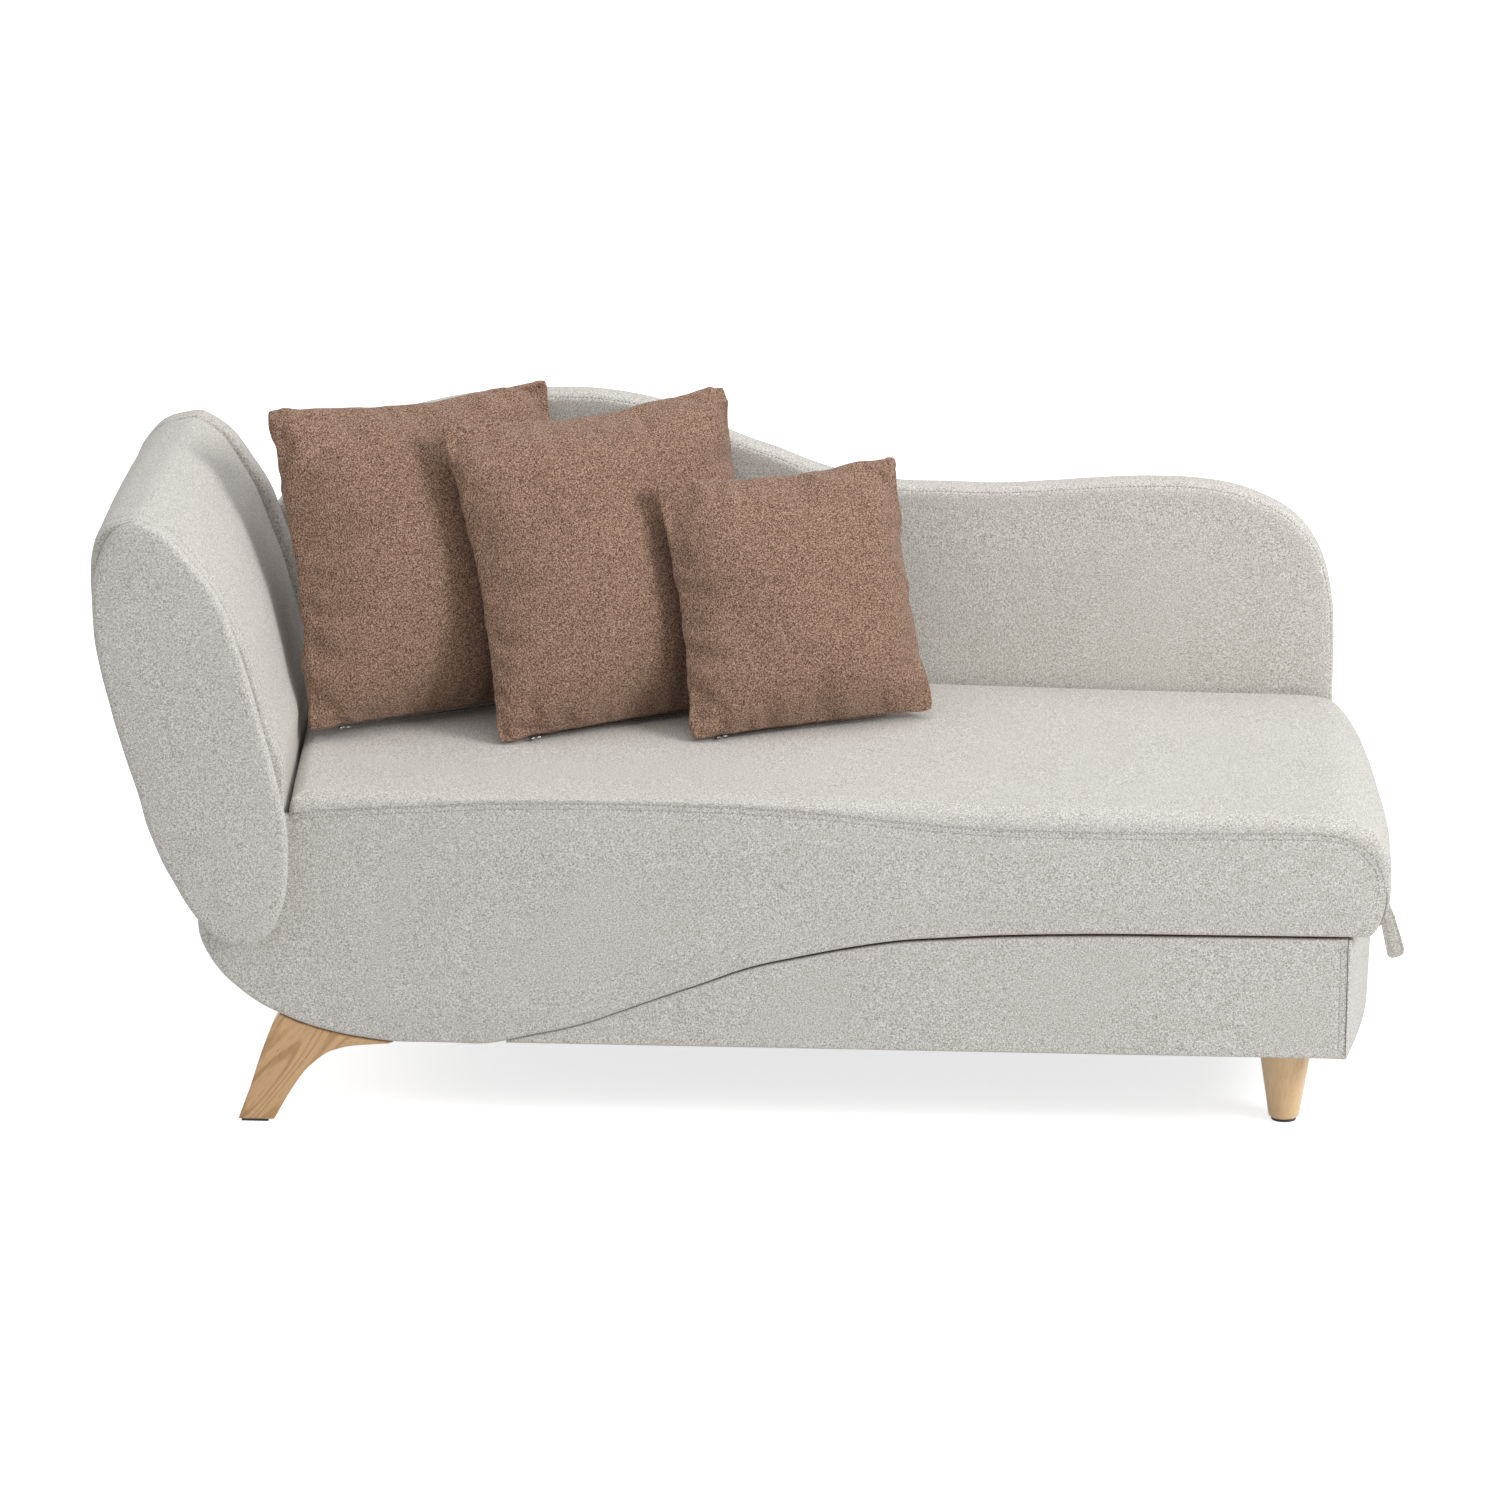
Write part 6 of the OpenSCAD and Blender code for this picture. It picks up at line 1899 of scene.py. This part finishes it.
@dataclass
class PlankLegs(Legs):
    """The two curved plank legs under the head end."""

    thickness: float = 41.0
    rim: float = 2.6
    places: tuple[tuple[str, float], ...] = (("front_left_leg", -297.0), ("rear_left_leg", 289.0))

    def leg_outline(self) -> np.ndarray:
        """Gives the outline of a plank leg, in X and Z."""
        outer = shifted([(-579, 142), (-589, 127), (-595, 113), (-606, 83), (-616, 52), (-633.6, 4)])
        foot = shifted([(-633.6, 4), (-589.3, 4)])
        inner = shifted([(-589.3, 4), (-588, 6), (-572, 35), (-560, 54), (-549, 69), (-541, 77), (-532, 85),
                         (-520, 93), (-508, 97.5), (-494, 101), (-466, 104), (-446, 105.5)])
        tip = shifted([(-446, 105.5), (-440, 107.6)])
        top = [(x, z - 1.5) for x, z in BASE_CURVE[::-1] if -578 < x < -440]
        return outline([outer, foot, inner, tip, shifted([(-440, 107.6), *top, (-579, 142)])], 3.0)

    def leg(self, y: float) -> Skin:
        """Builds one leg.

        Args:
            y: place of its front face.

        Returns:
            The skin.
        """
        edge = self.leg_outline()
        skin = Skin()
        front, back = y + self.rim, y + self.thickness - self.rim
        ids = skin.rings([upright(edge, front + (back - front) * t) for t in np.linspace(0, 1, 6)])
        rings = [self.rim * (1 - math.cos(math.radians(a))) for a in (22, 45, 67, 90)]
        skin.fill(ids[0], (0, 2), lambda p, d: y + round_over(d, self.rim), rings, 6.0)
        skin.fill(ids[-1], (0, 2), lambda p, d: y + self.thickness - round_over(d, self.rim), rings, 6.0)
        return skin


@dataclass
class TurnedLegs(Legs):
    """The two turned legs under the foot end."""

    timber: WoodFinish = BEECH
    slot: str = "beech"
    x: float = 663.0
    places: tuple[tuple[str, float], ...] = (("front_right_leg", -207.0), ("rear_right_leg", 182.7))
    # Radius over height, from the glide to the base
    shape: tuple[tuple[float, float], ...] = (
        (15.6, 4.0), (17.4, 4.3), (18.5, 5.2), (19.1, 6.6), (19.6, 9.5), (21.2, 20), (23.3, 34), (25.5, 48),
        (27.7, 62), (29.9, 76), (32.1, 90), (33.7, 101), (34.6, 106.5), (34.8, 108.6), (34.2, 110.2),
        (33.2, 110.8))
    facets: int = 72

    def leg(self, y: float) -> Skin:
        """Turns one leg.

        Args:
            y: place of its axis.

        Returns:
            The skin.
        """
        skin = Skin()
        rows = []
        a = np.linspace(0, 2 * math.pi, self.facets, endpoint=False)
        for radius, z in self.shape:
            rows.append(np.column_stack([self.x + radius * np.cos(a), y + radius * np.sin(a),
                                         np.full(self.facets, z)]))
        skin.rod(rows)
        return skin


class FrameTimber:
    """Finishes for the CAD nodes that stay: boards, foam, steel, bolts, glides, bumpers and liner."""

    plain: dict[str, Finish] = {"foam": FOAM, "steel": STEEL, "black_paint": BLACK_PAINT,
                                "black_plastic": BLACK_PLASTIC, "rubber": RUBBER, "liner": LINER,
                                "upholstery": LINEN, "cushion_cover": COCOA, "oak": OAK, "beech": BEECH}

    def board(self, node: str) -> PlyFinish:
        """Gives a board its plywood, with layers across its thinnest side."""
        low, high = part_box(node)
        sides = [high[k] - low[k] for k in range(3)]
        thin = sides.index(min(sides))
        return PlyFinish(f"plywood_{node}", specular=0.3, bump=0.15, across=Across(thin), low=low[thin],
                         thickness=min(sides[thin], 0.06))

    def build(self, wardrobe: Wardrobe) -> None:
        """Gives every CAD node its finish.

        Args:
            wardrobe: gives the finishes.
        """
        for row in frame["record"]["subparts"]:
            node, slot = row["node"], row["material_slot"]
            finish = self.board(node) if slot == "plywood" else self.plain[slot]
            solid = frame["nodes"][node]
            solid.data.materials.clear()
            solid.data.materials.append(wardrobe.of(finish))


@dataclass
class Studio:
    """The plain studio: pale floor, soft light and the photograph's camera."""

    target: tuple[float, float, float] = (0.007, -0.300, 0.4918)
    turn: float = 3.4
    rise: float = 16.7
    distance: float = 7.8
    lens: float = 155.0
    sky: float = 0.55
    floor_side: float = 24.0
    floor_glow: float = 0.74
    # Name, place, power and side of each lamp
    lamps: tuple[tuple[str, tuple[float, float, float], float, float], ...] = (
        ("key_lamp", (3.9, -2.1, 3.0), 126.0, 1.8),
        ("top_lamp", (0.2, 0.1, 4.2), 52.0, 3.4))

    def camera(self) -> None:
        """Places the camera at the photograph's viewpoint."""
        t, e = math.radians(self.turn), math.radians(self.rise)
        back = Vector((math.sin(t) * math.cos(e), -math.cos(t) * math.cos(e), math.sin(e)))
        data = bpy.data.cameras.new("camera")
        data.lens = self.lens
        data.sensor_width = 36.0
        data.clip_end = 100.0
        camera = linked("camera", data)
        camera.location = Vector(self.target) + back * self.distance
        camera.rotation_euler = back.to_track_quat("Z", "Y").to_euler()
        bpy.context.scene.camera = camera

    def seen_white(self, nodes: Nodes) -> Socket:
        """Gives 1 for what the camera, a reflection or a clear view sees of the surroundings."""
        path = nodes.add("ShaderNodeLightPath").outputs
        both = nodes.math("MAXIMUM", path["Is Camera Ray"], path["Is Glossy Ray"])
        return nodes.math("MAXIMUM", both, path["Is Transmission Ray"])

    def surroundings(self) -> None:
        """Lights the object softly from all sides in front of white."""
        world = bpy.data.worlds.new("studio")
        bpy.context.scene.world = world
        world.use_nodes = True
        nodes = Nodes(world.node_tree)
        background = world.node_tree.nodes["Background"]
        seen = self.seen_white(nodes)
        strength = nodes.add("ShaderNodeMapRange", {0: seen, 1: 0.0, 2: 1.0, 3: self.sky, 4: 1.0}).outputs[0]
        background.inputs["Color"].default_value = (1, 1, 1, 1)
        world.node_tree.links.new(strength, background.inputs["Strength"])

    def lamp(self, name: str, place: Sequence[float], power: float, size: float) -> None:
        """Hangs a large soft lamp that points at the object.

        Args:
            name: name of the lamp.
            place: where it hangs.
            power: its power.
            size: side of its panel.
        """
        data = bpy.data.lights.new(name, "AREA")
        data.shape = "SQUARE"
        data.size = size
        data.energy = power
        lamp = linked(name, data)
        lamp.location = place
        lamp.rotation_euler = (Vector(place) - Vector((0, 0, 0.4))).to_track_quat("Z", "Y").to_euler()

    def floor(self) -> None:
        """Lays the pale floor, which is seen white and keeps the object's shadow."""
        half = self.floor_side / 2
        mesh = bpy.data.meshes.new("floor")
        corners = [(-half, -half, 0), (half, -half, 0), (half, half, 0), (-half, half, 0)]
        mesh.from_pydata(corners, [], [(0, 1, 2, 3)])
        piece = linked("floor", mesh)
        shading = Shading("pale_floor", {"Roughness": 0.9, "Specular IOR Level": 0.1,
                                         "Emission Color": (1, 1, 1, 1)})
        seen = self.seen_white(shading)
        shading.lead(Base_Color=shading.mix(seen, (0.80, 0.80, 0.80, 1), (1.0, 1.0, 1.0, 1)),
                     Emission_Strength=shading.times(seen, self.floor_glow))
        mesh.materials.append(shading.material)

    def build(self) -> None:
        """Sets up the camera, the light and the floor."""
        bpy.context.scene.view_settings.view_transform = "Standard"
        self.camera()
        self.surroundings()
        for lamp in self.lamps:
            self.lamp(*lamp)
        self.floor()


def main() -> None:
    """Builds the studio and every sub-assembly in order."""
    logging.basicConfig(level=logging.INFO, format="%(name)s: %(message)s")
    Studio().build()
    wardrobe = Wardrobe()
    FrameTimber().build(wardrobe)
    SeatLid().build(wardrobe)
    HeadEnd().build(wardrobe)
    RearPanel().build(wardrobe)
    BaseBox().build(wardrobe)
    PlankLegs().build(wardrobe)
    TurnedLegs().build(wardrobe)
    for cushion in (
            ScatterCushion("left_cushion", "large_left", size=410, thickness=134, yaw=36.2, lean=16.7,
                           roll=-1.7, seed=2.3),
            ScatterCushion("middle_cushion", "large_right", size=410, thickness=134, yaw=32.5, lean=21.5,
                           roll=0.5, seed=5.9),
            ScatterCushion("small_cushion", "small", size=332, thickness=105, yaw=24.9, lean=21.0,
                           roll=0.6, seed=8.4, pull_half=9.0)):
        cushion.build(wardrobe)


if __name__ == "__main__":
    main()
